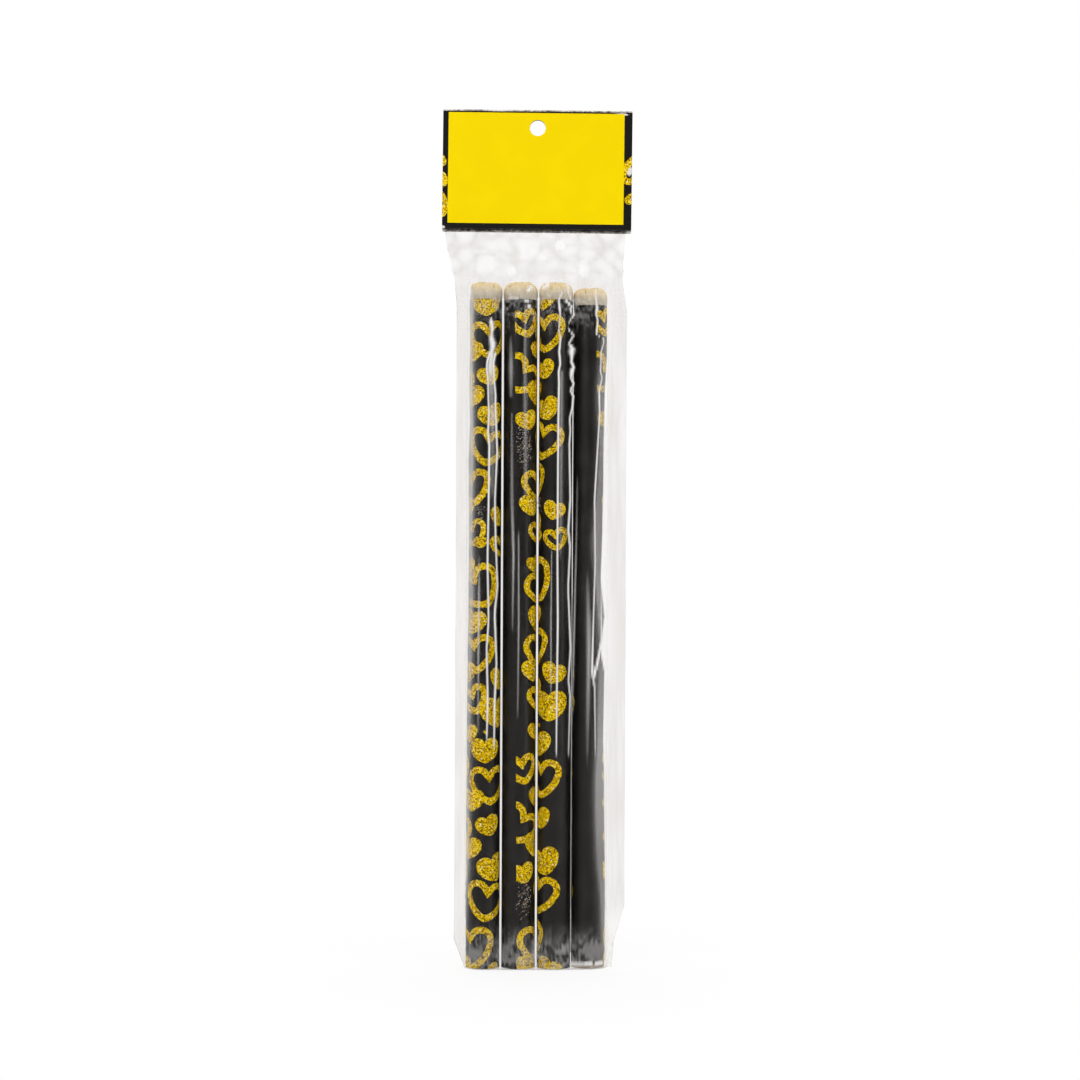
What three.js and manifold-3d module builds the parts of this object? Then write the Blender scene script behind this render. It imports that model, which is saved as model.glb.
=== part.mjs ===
// Hang pack of four party fountains: paper tubes in a clear film bag, closed by a folded header card.
// Millimetres, +Z up the tubes, -Y towards the card's yellow side, origin under the middle of the pack.
import * as THREE from 'three';
import { mergeVertices } from 'three/addons/utils/BufferGeometryUtils.js';
import Module from 'manifold-3d';

const wasm = await Module();
wasm.setup();

// Casing: a wound board tube
const casingLength = 299;
const casingDiameter = 14;
const casingWall = 1.2;
const slipFit = 0.05; // radial play between a tube and what is pushed or pasted into it
const facets = 40;

// Liner tube with the charge, in the casing's upper end
const linerLength = 185;
const linerWall = 1.6;
const linerInset = 3; // below the casing's rim
const chargeInset = 6; // below the liner's rim
const basePlugLength = 12; // closes the liner's lower end, under the charge

// Foot plug: pressed paper in the casing's lower end
const footPlugLength = 12;
const footPlugInset = 1;
const footPlugDish = 1.5;
const footPlugRim = 1.6;

// Sealing paper: a cream cup pasted over the rim, gathered in pleats round the shoulder
const sealPaper = 0.14;
const sealSkirt = 15;
const sealDome = 0.9;
const sealShoulder = 1.1;
const sealPleats = 10;
const sealPleatDepth = 0.16;

// Printed wrap: art paper rolled once round the casing, over the skirt of the sealing paper
const wrapPaper = 0.1;
const wrapLap = 5;
const wrapBelowRim = 7.3; // leaves the cream band bare

// Row of fountains: turn of the lap seam, distance set back and moved left, and what the length and foot lose
const fountainGap = 0.8; // the tubes lie loosely, with light between them
const rowOffset = 0.8; // the row doesn't lie in the middle of the card
const fountains = [
  { lapTurn: 131, back: 0, left: 0, shorter: 0, bareFoot: 0 },
  { lapTurn: 252, back: 0, left: 0, shorter: 0, bareFoot: 0 },
  { lapTurn: 81, back: 0, left: 0, shorter: 0, bareFoot: 0 },
  { lapTurn: 301, back: 2, left: 0.5, shorter: 2.2, bareFoot: 2.2 },
];

// Bag: clear film, laid flat at its mouth and drawn round the row below
const film = 0.2;
const filmClear = 0.4; // from the widest wrap
const creaseRound = 0.3;
const leftMargin = 5.2; // from the row to the side crease
const rightMargin = 8.7;
const leftNeckDraw = -0.9; // the left crease stands out a little above the tubes
const rightNeckDraw = 1.9; // and the right one draws in
const neckSwell = 1.2; // how much fuller the film stands round the tube ends
const neckRise = 2; // the neck lies this far above the tube ends
const leftFootDraw = 4.6; // the lower corners are folded under, the right one further
const rightFootDraw = 5.8;
const rightCornerDraw = 4.5; // at the height where the left corner ends
const leftCornerRise = 12;
const rightCornerRise = 27;
const headSpace = 22.5; // from the tube ends to the card
const shoulderDrop = 14; // the neck begins this far below the tube ends
const mouthSlit = 0.2;
const mouthWidth = 79.4;
const mouthOffset = -0.8;
const mouthDepth = 35; // how far the mouth reaches up into the card
const sectionPoints = 52;

// Header card: one piece of board folded over the mouth
const cardWidth = 83;
const cardHeight = 53;
const cardBoard = 0.4;
const cardClear = 0.8; // how much of the flat film shows under the card
const rearPanelDrop = 0.8; // the panel on +Y is longer
const holeDiameter = 7;
const holeBelowFold = 8;
const foldFacets = 10;

// Adhesive strips between film and card
const stripWidth = 74;
const stripHeight = 12;
const stripThickness = 0.1;
const stripBelowMouth = 5;

// Play: how far a loose fountain slides up before the narrowing film stops it
const slideTravel = 8;

const finishes = {
  print: { color: 0x1c1b1a, roughness: 0.35, metalness: 0 },
  board: { color: 0xb9a183, roughness: 0.9, metalness: 0 },
  liner: { color: 0xc7b696, roughness: 0.9, metalness: 0 },
  charge: { color: 0x6d6a66, roughness: 0.95, metalness: 0 },
  clay: { color: 0xb4a89a, roughness: 0.9, metalness: 0 },
  seal: { color: 0xd9cbb4, roughness: 0.85, metalness: 0 },
  film: { color: 0xeef1f2, roughness: 0.12, metalness: 0, transparent: true, opacity: 0.3 },
  card: { color: 0xfbd702, roughness: 0.3, metalness: 0 },
  adhesive: { color: 0xe9e6dc, roughness: 0.5, metalness: 0 },
};

const pack = new THREE.Group();

function piece(name, geometry, finish, parent) {
  const mesh = new THREE.Mesh(geometry, new THREE.MeshStandardMaterial(finishes[finish]));
  mesh.name = name;
  parent.add(mesh);
  return mesh;
}

// Polygons with the same count of sides nest with the given play at any turn
function outsideOf(radius) {
  return (radius + slipFit) / Math.cos(Math.PI / facets);
}

const casingRadius = casingDiameter / 2;
const boreRadius = casingRadius - casingWall;
const sealInner = casingRadius + slipFit;
const sealOuter = sealInner + sealPaper;
const wrapInner = outsideOf(sealOuter);
const wrapOuter = wrapInner + wrapPaper;
const wrapReach = wrapOuter + wrapPaper; // at the lap
const linerOuter = boreRadius - slipFit;
const linerInner = linerOuter - linerWall;

// A surface of revolution about Z from [radius, height] pairs; a closed profile makes a ring
function revolve(profile) {
  const points = profile.map(([radius, height]) => new THREE.Vector2(radius, height));
  const geometry = new THREE.LatheGeometry(points, facets);
  return geometry.rotateX(Math.PI / 2);
}

function tube(outer, inner, low, high) {
  return revolve([[inner, low], [outer, low], [outer, high], [inner, high], [inner, low]]);
}

function rod(radius, low, high) {
  return revolve([[0, low], [radius, low], [radius, high], [0, high]]);
}

// Foot plug: a pressed disc with a raised rim, dished on its lower face
function footPlugShape() {
  const radius = boreRadius - slipFit;
  const low = footPlugInset;
  const high = low + footPlugLength;
  return revolve([
    [0, low + footPlugDish],
    [radius - footPlugRim - footPlugDish, low + footPlugDish],
    [radius - footPlugRim, low],
    [radius, low],
    [radius, high],
    [0, high],
  ]);
}

// Closed skin of a stack of rings with equal point counts, capped at both ends by a centre point
function ringSkin(rings, lowCentre, highCentre) {
  const count = rings[0].length;
  const position = rings.flat().flatMap((p) => [p.x, p.y, p.z]);
  position.push(lowCentre.x, lowCentre.y, lowCentre.z, highCentre.x, highCentre.y, highCentre.z);
  const lowIndex = rings.length * count;
  const index = [];
  for (let r = 0; r + 1 < rings.length; r += 1) {
    for (let i = 0; i < count; i += 1) {
      const a = r * count + i;
      const b = r * count + ((i + 1) % count);
      index.push(a, b, b + count, a, b + count, a + count);
    }
  }
  const last = (rings.length - 1) * count;
  for (let i = 0; i < count; i += 1) {
    const next = (i + 1) % count;
    index.push(lowIndex, next, i);
    index.push(lowIndex + 1, last + i, last + next);
  }
  const geometry = new THREE.BufferGeometry();
  geometry.setAttribute('position', new THREE.Float32BufferAttribute(position, 3));
  geometry.setIndex(index);
  return geometry;
}

// Sealing paper: outer skin up the skirt and over the pleated shoulder, then the inner skin back down
function sealShape(rim) {
  const skirtEnd = rim - sealSkirt;
  const ring = (radius, height, pleat) => {
    const points = [];
    for (let i = 0; i < facets; i += 1) {
      const angle = (i / facets) * 2 * Math.PI;
      const r = radius - pleat * (0.5 - 0.5 * Math.cos(sealPleats * angle));
      points.push(new THREE.Vector3(r * Math.cos(angle), r * Math.sin(angle), height));
    }
    return points;
  };
  const top = rim + sealDome;
  const shoulder = sealOuter - sealShoulder;
  const outer = [
    ring(sealOuter, skirtEnd, 0),
    ring(sealOuter, rim - sealShoulder, 0),
    ring(sealOuter, rim + slipFit + sealPaper, 0),
    ring(sealOuter - 0.3 * sealShoulder, rim + 0.7 * sealDome, sealPleatDepth),
    ring(shoulder, top - 0.08 * sealDome, 2 * sealPleatDepth),
    ring(0.55 * shoulder, top, sealPleatDepth),
  ];
  const inner = [
    ring(sealInner, skirtEnd, 0),
    ring(sealInner, rim + slipFit, 0),
    ring(shoulder - sealPaper - 2 * sealPleatDepth, top - 0.08 * sealDome - 1.5 * sealPaper, 0),
  ];
  const upward = [...inner.reverse(), ...outer];
  const under = new THREE.Vector3(0, 0, top - 1.5 * sealPaper);
  const above = new THREE.Vector3(0, 0, top);
  return ringSkin(upward, under, above);
}

// Wrap: one turn of paper and a lap that rides on its own start
function wrapShape(low, high) {
  const lapAngle = wrapLap / wrapOuter;
  const lapFacets = Math.max(2, Math.round((lapAngle / (2 * Math.PI)) * facets));
  const outline = new THREE.Shape();
  for (let i = 0; i <= facets; i += 1) {
    const angle = (i / facets) * 2 * Math.PI;
    const r = i <= lapFacets ? wrapReach : wrapOuter;
    if (i === 0) {
      outline.moveTo(r, 0);
    } else {
      outline.lineTo(r * Math.cos(angle), r * Math.sin(angle));
    }
    if (i === lapFacets) {
      outline.lineTo(wrapOuter * Math.cos(angle), wrapOuter * Math.sin(angle));
    }
  }
  const bore = new THREE.Path();
  for (let i = 0; i < facets; i += 1) {
    const angle = -(i / facets) * 2 * Math.PI;
    const [x, y] = [wrapInner * Math.cos(angle), wrapInner * Math.sin(angle)];
    if (i === 0) {
      bore.moveTo(x, y);
    } else {
      bore.lineTo(x, y);
    }
  }
  outline.holes.push(bore);
  const geometry = new THREE.ExtrudeGeometry(outline, { depth: high - low, bevelEnabled: false });
  return geometry.translate(0, 0, low);
}

const pitch = 2 * wrapOuter + fountainGap;
const tubeEnd = film + casingLength + sealDome;
const rowBack = Math.max(...fountains.map((f) => f.back));
const axes = fountains.map((f, i) => {
  const x = rowOffset + (i - (fountains.length - 1) / 2) * pitch - f.left;
  return new THREE.Vector2(x, f.back);
});

function addFountain(number) {
  const { lapTurn, shorter, bareFoot } = fountains[number];
  const length = casingLength - shorter;
  const linerHigh = length - linerInset;
  const linerLow = linerHigh - linerLength;
  const chargeLow = linerLow + basePlugLength;
  const coreRadius = linerInner - slipFit;
  const group = new THREE.Group();
  const tag = number + 1;
  piece(`casing_tube_${tag}`, tube(casingRadius, boreRadius, 0, length), 'board', group);
  piece(`liner_tube_${tag}`, tube(linerOuter, linerInner, linerLow, linerHigh), 'liner', group);
  piece(`charge_core_${tag}`, rod(coreRadius, chargeLow, linerHigh - chargeInset), 'charge', group);
  piece(`base_plug_${tag}`, rod(coreRadius, linerLow, chargeLow), 'clay', group);
  piece(`foot_plug_${tag}`, footPlugShape(), 'liner', group);
  piece(`sealing_paper_${tag}`, sealShape(length), 'seal', group);
  const wrap = piece(`printed_wrap_${tag}`, wrapShape(bareFoot, length - wrapBelowRim), 'print', group);
  wrap.rotation.z = THREE.MathUtils.degToRad(lapTurn);
  group.position.set(axes[number].x, axes[number].y, film);
  pack.add(group);
}

// Bag sections: the film drawn round a set of upright cylinders, each { x, y, r }
const mouthRadius = mouthSlit / 2 + film;
const rowRadius = wrapReach + filmClear + film;
const firstAxis = axes[0];
const lastAxis = axes[axes.length - 1];
const frontAxis = axes[axes.length - 2];
const leftCrease = firstAxis.x - wrapOuter - leftMargin;
const rightCrease = lastAxis.x + wrapOuter + rightMargin;
const creaseRadius = creaseRound + film;

function rowSection(leftDraw, rightDraw, swell) {
  const r = rowRadius + swell;
  return [
    { x: leftCrease + leftDraw + creaseRadius, y: 0, r: creaseRadius },
    { x: firstAxis.x, y: firstAxis.y, r },
    { x: frontAxis.x, y: frontAxis.y, r },
    { x: lastAxis.x, y: lastAxis.y, r },
    { x: rightCrease - rightDraw - creaseRadius, y: lastAxis.y / 2, r: creaseRadius },
  ];
}

function mouthSection() {
  const reach = mouthWidth / 2 - mouthRadius;
  return [-1, -0.6, 0.3, 0.6, 1].map((k) => ({ x: mouthOffset + k * reach, y: 0, r: mouthRadius }));
}

function mix(sectionA, sectionB, share, leftShare = share) {
  return sectionA.map((a, i) => ({
    x: THREE.MathUtils.lerp(a.x, sectionB[i].x, i === 0 ? leftShare : share),
    y: THREE.MathUtils.lerp(a.y, sectionB[i].y, share),
    r: THREE.MathUtils.lerp(a.r, sectionB[i].r, share),
  }));
}

const cardLow = tubeEnd + headSpace;
const neckHeight = tubeEnd + neckRise;
const taperEnd = cardLow - cardClear;
const filmTop = cardLow + mouthDepth;

// The taper is as full as it takes to be no narrower than the row where a raised fountain ends
const raisedShare = (slideTravel + filmClear - neckRise) / (taperEnd - neckHeight);
const taperPower = Math.log(neckSwell / (rowRadius + neckSwell - mouthRadius)) / Math.log(raisedShare);
const leftTaperPower = 0.8; // the left crease runs out nearly straight

// The heights of the loft's rings and the section at each
function bagStations() {
  const foot = rowSection(leftFootDraw, rightFootDraw, 0);
  const corner = rowSection(0, rightCornerDraw, 0);
  const body = rowSection(0, 0, 0);
  const neck = rowSection(leftNeckDraw, rightNeckDraw, neckSwell);
  const mouth = mouthSection();
  const stations = [
    { z: 0, section: foot },
    { z: leftCornerRise, section: corner },
    { z: rightCornerRise, section: body },
    { z: tubeEnd - shoulderDrop, section: body },
  ];
  for (const t of [0.25, 0.5, 0.75, 1]) {
    const share = THREE.MathUtils.smoothstep(t, 0, 1);
    const z = THREE.MathUtils.lerp(tubeEnd - shoulderDrop, neckHeight, t);
    stations.push({ z, section: mix(body, neck, share) });
  }
  const taper = [0.3, 0.55, 0.78, 1].map((k) => THREE.MathUtils.lerp(raisedShare, 1, k));
  for (const t of [raisedShare / 2, raisedShare, ...taper]) {
    const z = THREE.MathUtils.lerp(neckHeight, taperEnd, t);
    stations.push({ z, section: mix(neck, mouth, t ** taperPower, t ** leftTaperPower) });
  }
  stations.push({ z: filmTop, section: mouth });
  return stations;
}

// Points at equal steps round the front and back of a section, which meet at the side creases
function filmRing(section, inset, z) {
  const half = (from) => {
    const edge = [];
    for (let step = 0; step < 360; step += 1) {
      const angle = from + ((step + 0.5) / 360) * Math.PI;
      const [nx, ny] = [Math.cos(angle), Math.sin(angle)];
      const reach = (c) => c.x * nx + c.y * ny + c.r - inset;
      const c = section.reduce((best, next) => (reach(next) > reach(best) ? next : best));
      edge.push(new THREE.Vector2(c.x + (c.r - inset) * nx, c.y + (c.r - inset) * ny));
    }
    const along = [0];
    edge.slice(1).forEach((p, i) => along.push(along[i] + p.distanceTo(edge[i])));
    const points = [];
    const count = sectionPoints / 2;
    for (let k = 0, j = 0; k < count; k += 1) {
      const target = ((k + 0.5) / count) * along[along.length - 1];
      while (along[j + 1] < target) j += 1;
      const share = (target - along[j]) / (along[j + 1] - along[j]);
      const p = edge[j].clone().lerp(edge[j + 1], share);
      points.push(new THREE.Vector3(p.x, p.y, z));
    }
    return points;
  };
  const crease = (side) => {
    const c = section[side < 0 ? 0 : section.length - 1];
    return new THREE.Vector3(c.x + side * (c.r - inset), c.y, z);
  };
  return [crease(-1), ...half(Math.PI), crease(1), ...half(0)];
}

// Bag: outer skin from the floor up to the mouth, over the rim and down the inner skin to the floor
function bagShape() {
  const stations = bagStations();
  const outer = stations.map((s) => filmRing(s.section, 0, s.z));
  const inner = stations.map((s) => filmRing(s.section, film, Math.max(s.z, film)));
  const middle = (firstAxis.x + lastAxis.x) / 2;
  const under = new THREE.Vector3(middle, rowBack / 2, 0);
  const floor = new THREE.Vector3(middle, rowBack / 2, film);
  return ringSkin([...outer, ...inner.reverse()], under, floor);
}

function solidOf(geometry) {
  const bare = geometry.index ? geometry.clone() : geometry;
  bare.deleteAttribute('normal');
  bare.deleteAttribute('uv');
  const merged = mergeVertices(bare, 1e-4);
  const mesh = new wasm.Mesh({
    numProp: 3,
    vertProperties: new Float32Array(merged.attributes.position.array),
    triVerts: new Uint32Array(merged.index.array),
  });
  return new wasm.Manifold(mesh);
}

function geometryOf(solid) {
  const mesh = solid.getMesh();
  const geometry = new THREE.BufferGeometry();
  geometry.setAttribute('position', new THREE.BufferAttribute(mesh.vertProperties, mesh.numProp));
  geometry.setIndex(new THREE.BufferAttribute(mesh.triVerts, 1));
  return geometry;
}

const stripFace = mouthRadius;
const cardInner = stripFace + stripThickness;
const cardOuter = cardInner + cardBoard;
const cardHigh = cardLow + cardHeight;

// Header card: a U of board, folded round the film's mouth, with the peg hole punched through both panels
function cardShape() {
  const foldCentre = cardHigh - cardOuter;
  const outline = new THREE.Shape();
  outline.moveTo(-cardOuter, cardLow);
  outline.lineTo(-cardInner, cardLow);
  outline.lineTo(-cardInner, foldCentre);
  for (let i = 1; i <= foldFacets; i += 1) {
    const angle = Math.PI - (i / foldFacets) * Math.PI;
    outline.lineTo(cardInner * Math.cos(angle), foldCentre + cardInner * Math.sin(angle));
  }
  outline.lineTo(cardInner, cardLow - rearPanelDrop);
  outline.lineTo(cardOuter, cardLow - rearPanelDrop);
  outline.lineTo(cardOuter, foldCentre);
  for (let i = 1; i <= foldFacets; i += 1) {
    const angle = (i / foldFacets) * Math.PI;
    outline.lineTo(cardOuter * Math.cos(angle), foldCentre + cardOuter * Math.sin(angle));
  }
  const folded = new THREE.ExtrudeGeometry(outline, { depth: cardWidth, bevelEnabled: false });
  // The outline's x is the pack's Y and its y is the pack's Z
  folded.applyMatrix4(new THREE.Matrix4().makeBasis(
    new THREE.Vector3(0, 1, 0),
    new THREE.Vector3(0, 0, 1),
    new THREE.Vector3(1, 0, 0),
  ));
  folded.translate(-cardWidth / 2, 0, 0);
  const punch = new THREE.CylinderGeometry(holeDiameter / 2, holeDiameter / 2, 4 * cardOuter, facets);
  punch.translate(0, 0, -(cardHigh - holeBelowFold));
  punch.rotateX(Math.PI);
  return geometryOf(solidOf(folded).subtract(solidOf(punch)));
}

function stripShape(side) {
  const strip = new THREE.BoxGeometry(stripWidth, stripThickness, stripHeight);
  const y = side * (stripFace + stripThickness / 2);
  return strip.translate(mouthOffset, y, filmTop - stripBelowMouth - stripHeight / 2);
}

fountains.forEach((_, number) => addFountain(number));
piece('clear_bag', bagShape(), 'film', pack);
piece('header_card', cardShape(), 'card', pack);
piece('adhesive_strip_front', stripShape(-1), 'adhesive', pack);
piece('adhesive_strip_back', stripShape(1), 'adhesive', pack);

// The row's deepest tube stands back, so the pack's middle lies behind the card's
pack.position.y = -rowBack / 2;

export default pack;
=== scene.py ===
import math
from collections import namedtuple

import bmesh
import bpy
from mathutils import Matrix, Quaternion, Vector, noise


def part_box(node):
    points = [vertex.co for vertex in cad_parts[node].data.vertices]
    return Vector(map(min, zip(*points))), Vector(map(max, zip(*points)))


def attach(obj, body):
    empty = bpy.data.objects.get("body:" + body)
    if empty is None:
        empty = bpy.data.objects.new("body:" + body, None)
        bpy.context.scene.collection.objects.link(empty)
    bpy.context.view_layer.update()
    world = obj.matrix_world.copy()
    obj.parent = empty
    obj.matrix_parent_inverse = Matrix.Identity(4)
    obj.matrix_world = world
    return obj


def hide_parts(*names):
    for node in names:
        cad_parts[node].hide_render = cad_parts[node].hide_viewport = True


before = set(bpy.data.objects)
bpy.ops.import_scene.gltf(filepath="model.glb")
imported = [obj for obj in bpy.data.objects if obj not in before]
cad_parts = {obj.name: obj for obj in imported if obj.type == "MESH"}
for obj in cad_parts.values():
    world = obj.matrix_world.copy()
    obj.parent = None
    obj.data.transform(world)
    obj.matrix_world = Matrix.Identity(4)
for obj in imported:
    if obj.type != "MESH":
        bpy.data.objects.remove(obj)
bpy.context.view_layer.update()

MM = 0.001
FOUNTAINS = (1, 2, 3, 4)


# Node lines and materials
def linear(code):
    """Turns an sRGB hex colour into a linear one, fully opaque."""
    shares = [int(code[i : i + 2], 16) / 255 for i in (1, 3, 5)]
    return [c / 12.92 if c <= 0.04045 else ((c + 0.055) / 1.055) ** 2.4 for c in shares] + [1.0]


def add(tree, kind, inputs=None, stops=(), **settings):
    """Adds a node. Its inputs take values, sockets or nodes, and a node gives its first output."""
    made = tree.nodes.new(kind)
    for name, value in settings.items():
        setattr(made, name, value)
    if stops:
        ramp = made.color_ramp
        while len(ramp.elements) < len(stops):
            ramp.elements.new(0.5)
        for element, (position, colour) in zip(ramp.elements, stops):
            element.position = position
            element.color = linear(colour)
    for name, value in (inputs or {}).items():
        if isinstance(value, bpy.types.Node):
            value = value.outputs[0]
        if isinstance(value, bpy.types.NodeSocket):
            tree.links.new(value, made.inputs[name])
        else:
            made.inputs[name].default_value = value
    return made


def material(name, build, *choices):
    """A material whose surface is the shader node that build adds to its tree."""
    made = bpy.data.materials.new(name)
    made.use_nodes = True
    tree = made.node_tree
    tree.nodes.clear()
    add(tree, "ShaderNodeOutputMaterial", {"Surface": build(tree, *choices)})
    return made


def per_mm(size):
    """A texture's scale for features of this many millimetres."""
    return 1 / (size * MM)


def speckled(tree, size, tones):
    """Specks of this size in millimetres, each in a tone of its own, and the pattern they come from."""
    place = add(tree, "ShaderNodeTexCoord").outputs["Object"]
    speck = add(tree, "ShaderNodeTexVoronoi", {"Vector": place, "Scale": per_mm(size)})
    chance = add(tree, "ShaderNodeSeparateColor", {"Color": speck.outputs["Color"]})
    return add(tree, "ShaderNodeValToRGB", {"Fac": chance.outputs["Red"]}, tones), speck


def varnished_black_paper(tree):
    # Art paper printed solid black and varnished: a deep, slightly uneven black with a satin shine
    place = add(tree, "ShaderNodeTexCoord").outputs["Object"]
    clouds = {"Vector": place, "Scale": per_mm(9), "Detail": 5.0, "Roughness": 0.6}
    cloud = add(tree, "ShaderNodeTexNoise", clouds)
    blacks = [(0.3, "#100f0e"), (0.52, "#191716"), (0.75, "#282523")]
    tone = add(tree, "ShaderNodeValToRGB", {"Fac": cloud}, blacks)
    fibre = add(tree, "ShaderNodeTexNoise", {"Vector": place, "Scale": per_mm(0.7), "Detail": 3.0})
    relief = add(tree, "ShaderNodeBump", {"Height": fibre, "Strength": 0.35, "Distance": 0.03 * MM})
    satin = {"Value": cloud, "From Min": 0.3, "From Max": 0.7, "To Min": 0.28, "To Max": 0.4}
    shine = add(tree, "ShaderNodeMapRange", satin)
    varnish = {"Base Color": tone, "Roughness": shine, "Normal": relief, "Specular IOR Level": 0.27}
    return add(tree, "ShaderNodeBsdfPrincipled", varnish)


def gold_glitter_ink(tree):
    # Screen-printed gold glitter ink: flakes from olive to bright yellow, a few of them catching the light.
    # They are drawn 0.5 mm wide, because real ones are too fine to show
    golds = [(0.0, "#5f4700"), (0.2, "#987400"), (0.45, "#e0b400"), (0.7, "#ffd600")]
    sparks = [(0.92, "#ffe61e"), (0.97, "#ffef8a"), (1.0, "#fff8e0")]
    tone, _ = speckled(tree, 0.5, golds + sparks)
    ink = {"Base Color": tone, "Roughness": 0.55, "Specular IOR Level": 0.05}
    return add(tree, "ShaderNodeBsdfPrincipled", ink)


def stray_flake_dust(tree):
    # Glitter flakes that strayed from the print: under the varnish most of them look grey and a few gold
    tones = [(0.0, "#716c67"), (0.5, "#aaa49c"), (0.85, "#ddd6cc"), (0.97, "#e6b63e")]
    tone, _ = speckled(tree, 0.6, tones)
    return add(tree, "ShaderNodeBsdfPrincipled", {"Base Color": tone, "Roughness": 0.5})


def sealing_tissue(tree):
    # Thin unbleached sealing paper, folded over the tube's end: dull beige, paler and yellower at its rim
    place = add(tree, "ShaderNodeTexCoord").outputs["Object"]
    rim = add(tree, "ShaderNodeAttribute", attribute_name="rim").outputs["Fac"]
    grains = {"Vector": place, "Scale": per_mm(0.9), "Detail": 6.0, "Roughness": 0.7}
    grain = add(tree, "ShaderNodeTexNoise", grains)
    mixed = add(tree, "ShaderNodeMath", {0: grain, 1: 0.7, 2: rim}, operation="MULTIPLY_ADD")
    beiges = [(0.2, "#b9ae9c"), (0.5, "#d2c8b4"), (0.8, "#ecdcbb"), (1.0, "#fde7b6")]
    tone = add(tree, "ShaderNodeValToRGB", {"Fac": mixed}, beiges)
    relief = add(tree, "ShaderNodeBump", {"Height": grain, "Strength": 0.5, "Distance": 0.08 * MM})
    return add(tree, "ShaderNodeBsdfPrincipled", {"Base Color": tone, "Roughness": 0.85, "Normal": relief})


def wound_board(tree, dark, pale, strip):
    # Chipboard wound in a spiral from strips this many millimetres wide: buff, fibrous and faintly seamed
    place = add(tree, "ShaderNodeTexCoord").outputs["Object"]
    fibres = {"Vector": place, "Scale": per_mm(0.5), "Detail": 8.0, "Roughness": 0.75}
    fibre = add(tree, "ShaderNodeTexNoise", fibres)
    winding = {"Vector": place, "Scale": per_mm(strip) / 20, "Distortion": 0.6, "Detail": 2.0}
    turns = add(tree, "ShaderNodeTexWave", winding, bands_direction="Z", wave_profile="SAW").outputs["Fac"]
    mixed = add(tree, "ShaderNodeMath", {0: turns, 1: 0.25, 2: fibre}, operation="MULTIPLY_ADD")
    tone = add(tree, "ShaderNodeValToRGB", {"Fac": mixed}, [(0.35, dark), (0.85, pale)])
    relief = add(tree, "ShaderNodeBump", {"Height": mixed, "Strength": 0.5, "Distance": 0.1 * MM})
    return add(tree, "ShaderNodeBsdfPrincipled", {"Base Color": tone, "Roughness": 0.9, "Normal": relief})


def pressed_grains(tree, dark, pale, size):
    # Rammed powder in grains this many millimetres wide: matt and speckled, with a finely pitted face
    tone, grain = speckled(tree, size, [(0.1, dark), (0.9, pale)])
    relief = add(tree, "ShaderNodeBump", {"Height": grain, "Strength": 0.6, "Distance": 0.1 * MM})
    return add(tree, "ShaderNodeBsdfPrincipled", {"Base Color": tone, "Roughness": 0.92, "Normal": relief})


def black_header_board(tree):
    # Folding boxboard printed black under a gloss varnish: paler along its fold, white fibres where its outer
    # edges are rubbed, and two painted highlights, a glint on the right border and a white wedge on the
    # fold's curve
    place = add(tree, "ShaderNodeTexCoord").outputs["Object"]
    paleness = add(tree, "ShaderNodeAttribute", attribute_name="wear_and_painted_highlight").outputs["Fac"]
    fibres = {"Vector": place, "Scale": per_mm(1.6), "Detail": 8.0, "Roughness": 0.75}
    fibre = add(tree, "ShaderNodeTexNoise", fibres)
    whitening = add(tree, "ShaderNodeMath", {0: fibre, 1: paleness}, operation="MULTIPLY")
    tones = [(0.0, "#181716"), (0.28, "#201f1e"), (0.42, "#8d8883"), (0.58, "#e8e4df")]
    tone = add(tree, "ShaderNodeValToRGB", {"Fac": whitening}, tones)
    relief = add(tree, "ShaderNodeBump", {"Height": fibre, "Strength": 0.25, "Distance": 0.04 * MM})
    varnish = {"Base Color": tone, "Roughness": 0.33, "Specular IOR Level": 0.15, "Normal": relief}
    return add(tree, "ShaderNodeBsdfPrincipled", varnish)


def yellow_offset_ink(tree):
    # Solid yellow offset ink under a gloss varnish: even and warm, with the board's faint fibre in its shine
    place = add(tree, "ShaderNodeTexCoord").outputs["Object"]
    cloud = add(tree, "ShaderNodeTexNoise", {"Vector": place, "Scale": per_mm(14), "Detail": 4.0})
    tone = add(tree, "ShaderNodeValToRGB", {"Fac": cloud}, [(0.35, "#fddc00"), (0.65, "#ffe000")])
    fibre = add(tree, "ShaderNodeTexNoise", {"Vector": place, "Scale": per_mm(0.8), "Detail": 4.0})
    relief = add(tree, "ShaderNodeBump", {"Height": fibre, "Strength": 0.2, "Distance": 0.03 * MM})
    varnish = {"Base Color": tone, "Roughness": 0.42, "Specular IOR Level": 0.05, "Normal": relief}
    return add(tree, "ShaderNodeBsdfPrincipled", varnish)


def dried_adhesive(tree):
    # Dispersion glue, dried to a milky skin
    place = add(tree, "ShaderNodeTexCoord").outputs["Object"]
    cloud = add(tree, "ShaderNodeTexNoise", {"Vector": place, "Scale": per_mm(3), "Detail": 3.0})
    tone = add(tree, "ShaderNodeValToRGB", {"Fac": cloud}, [(0.3, "#ddd9cf"), (0.7, "#efece4")])
    return add(tree, "ShaderNodeBsdfPrincipled", {"Base Color": tone, "Roughness": 0.5})


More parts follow.
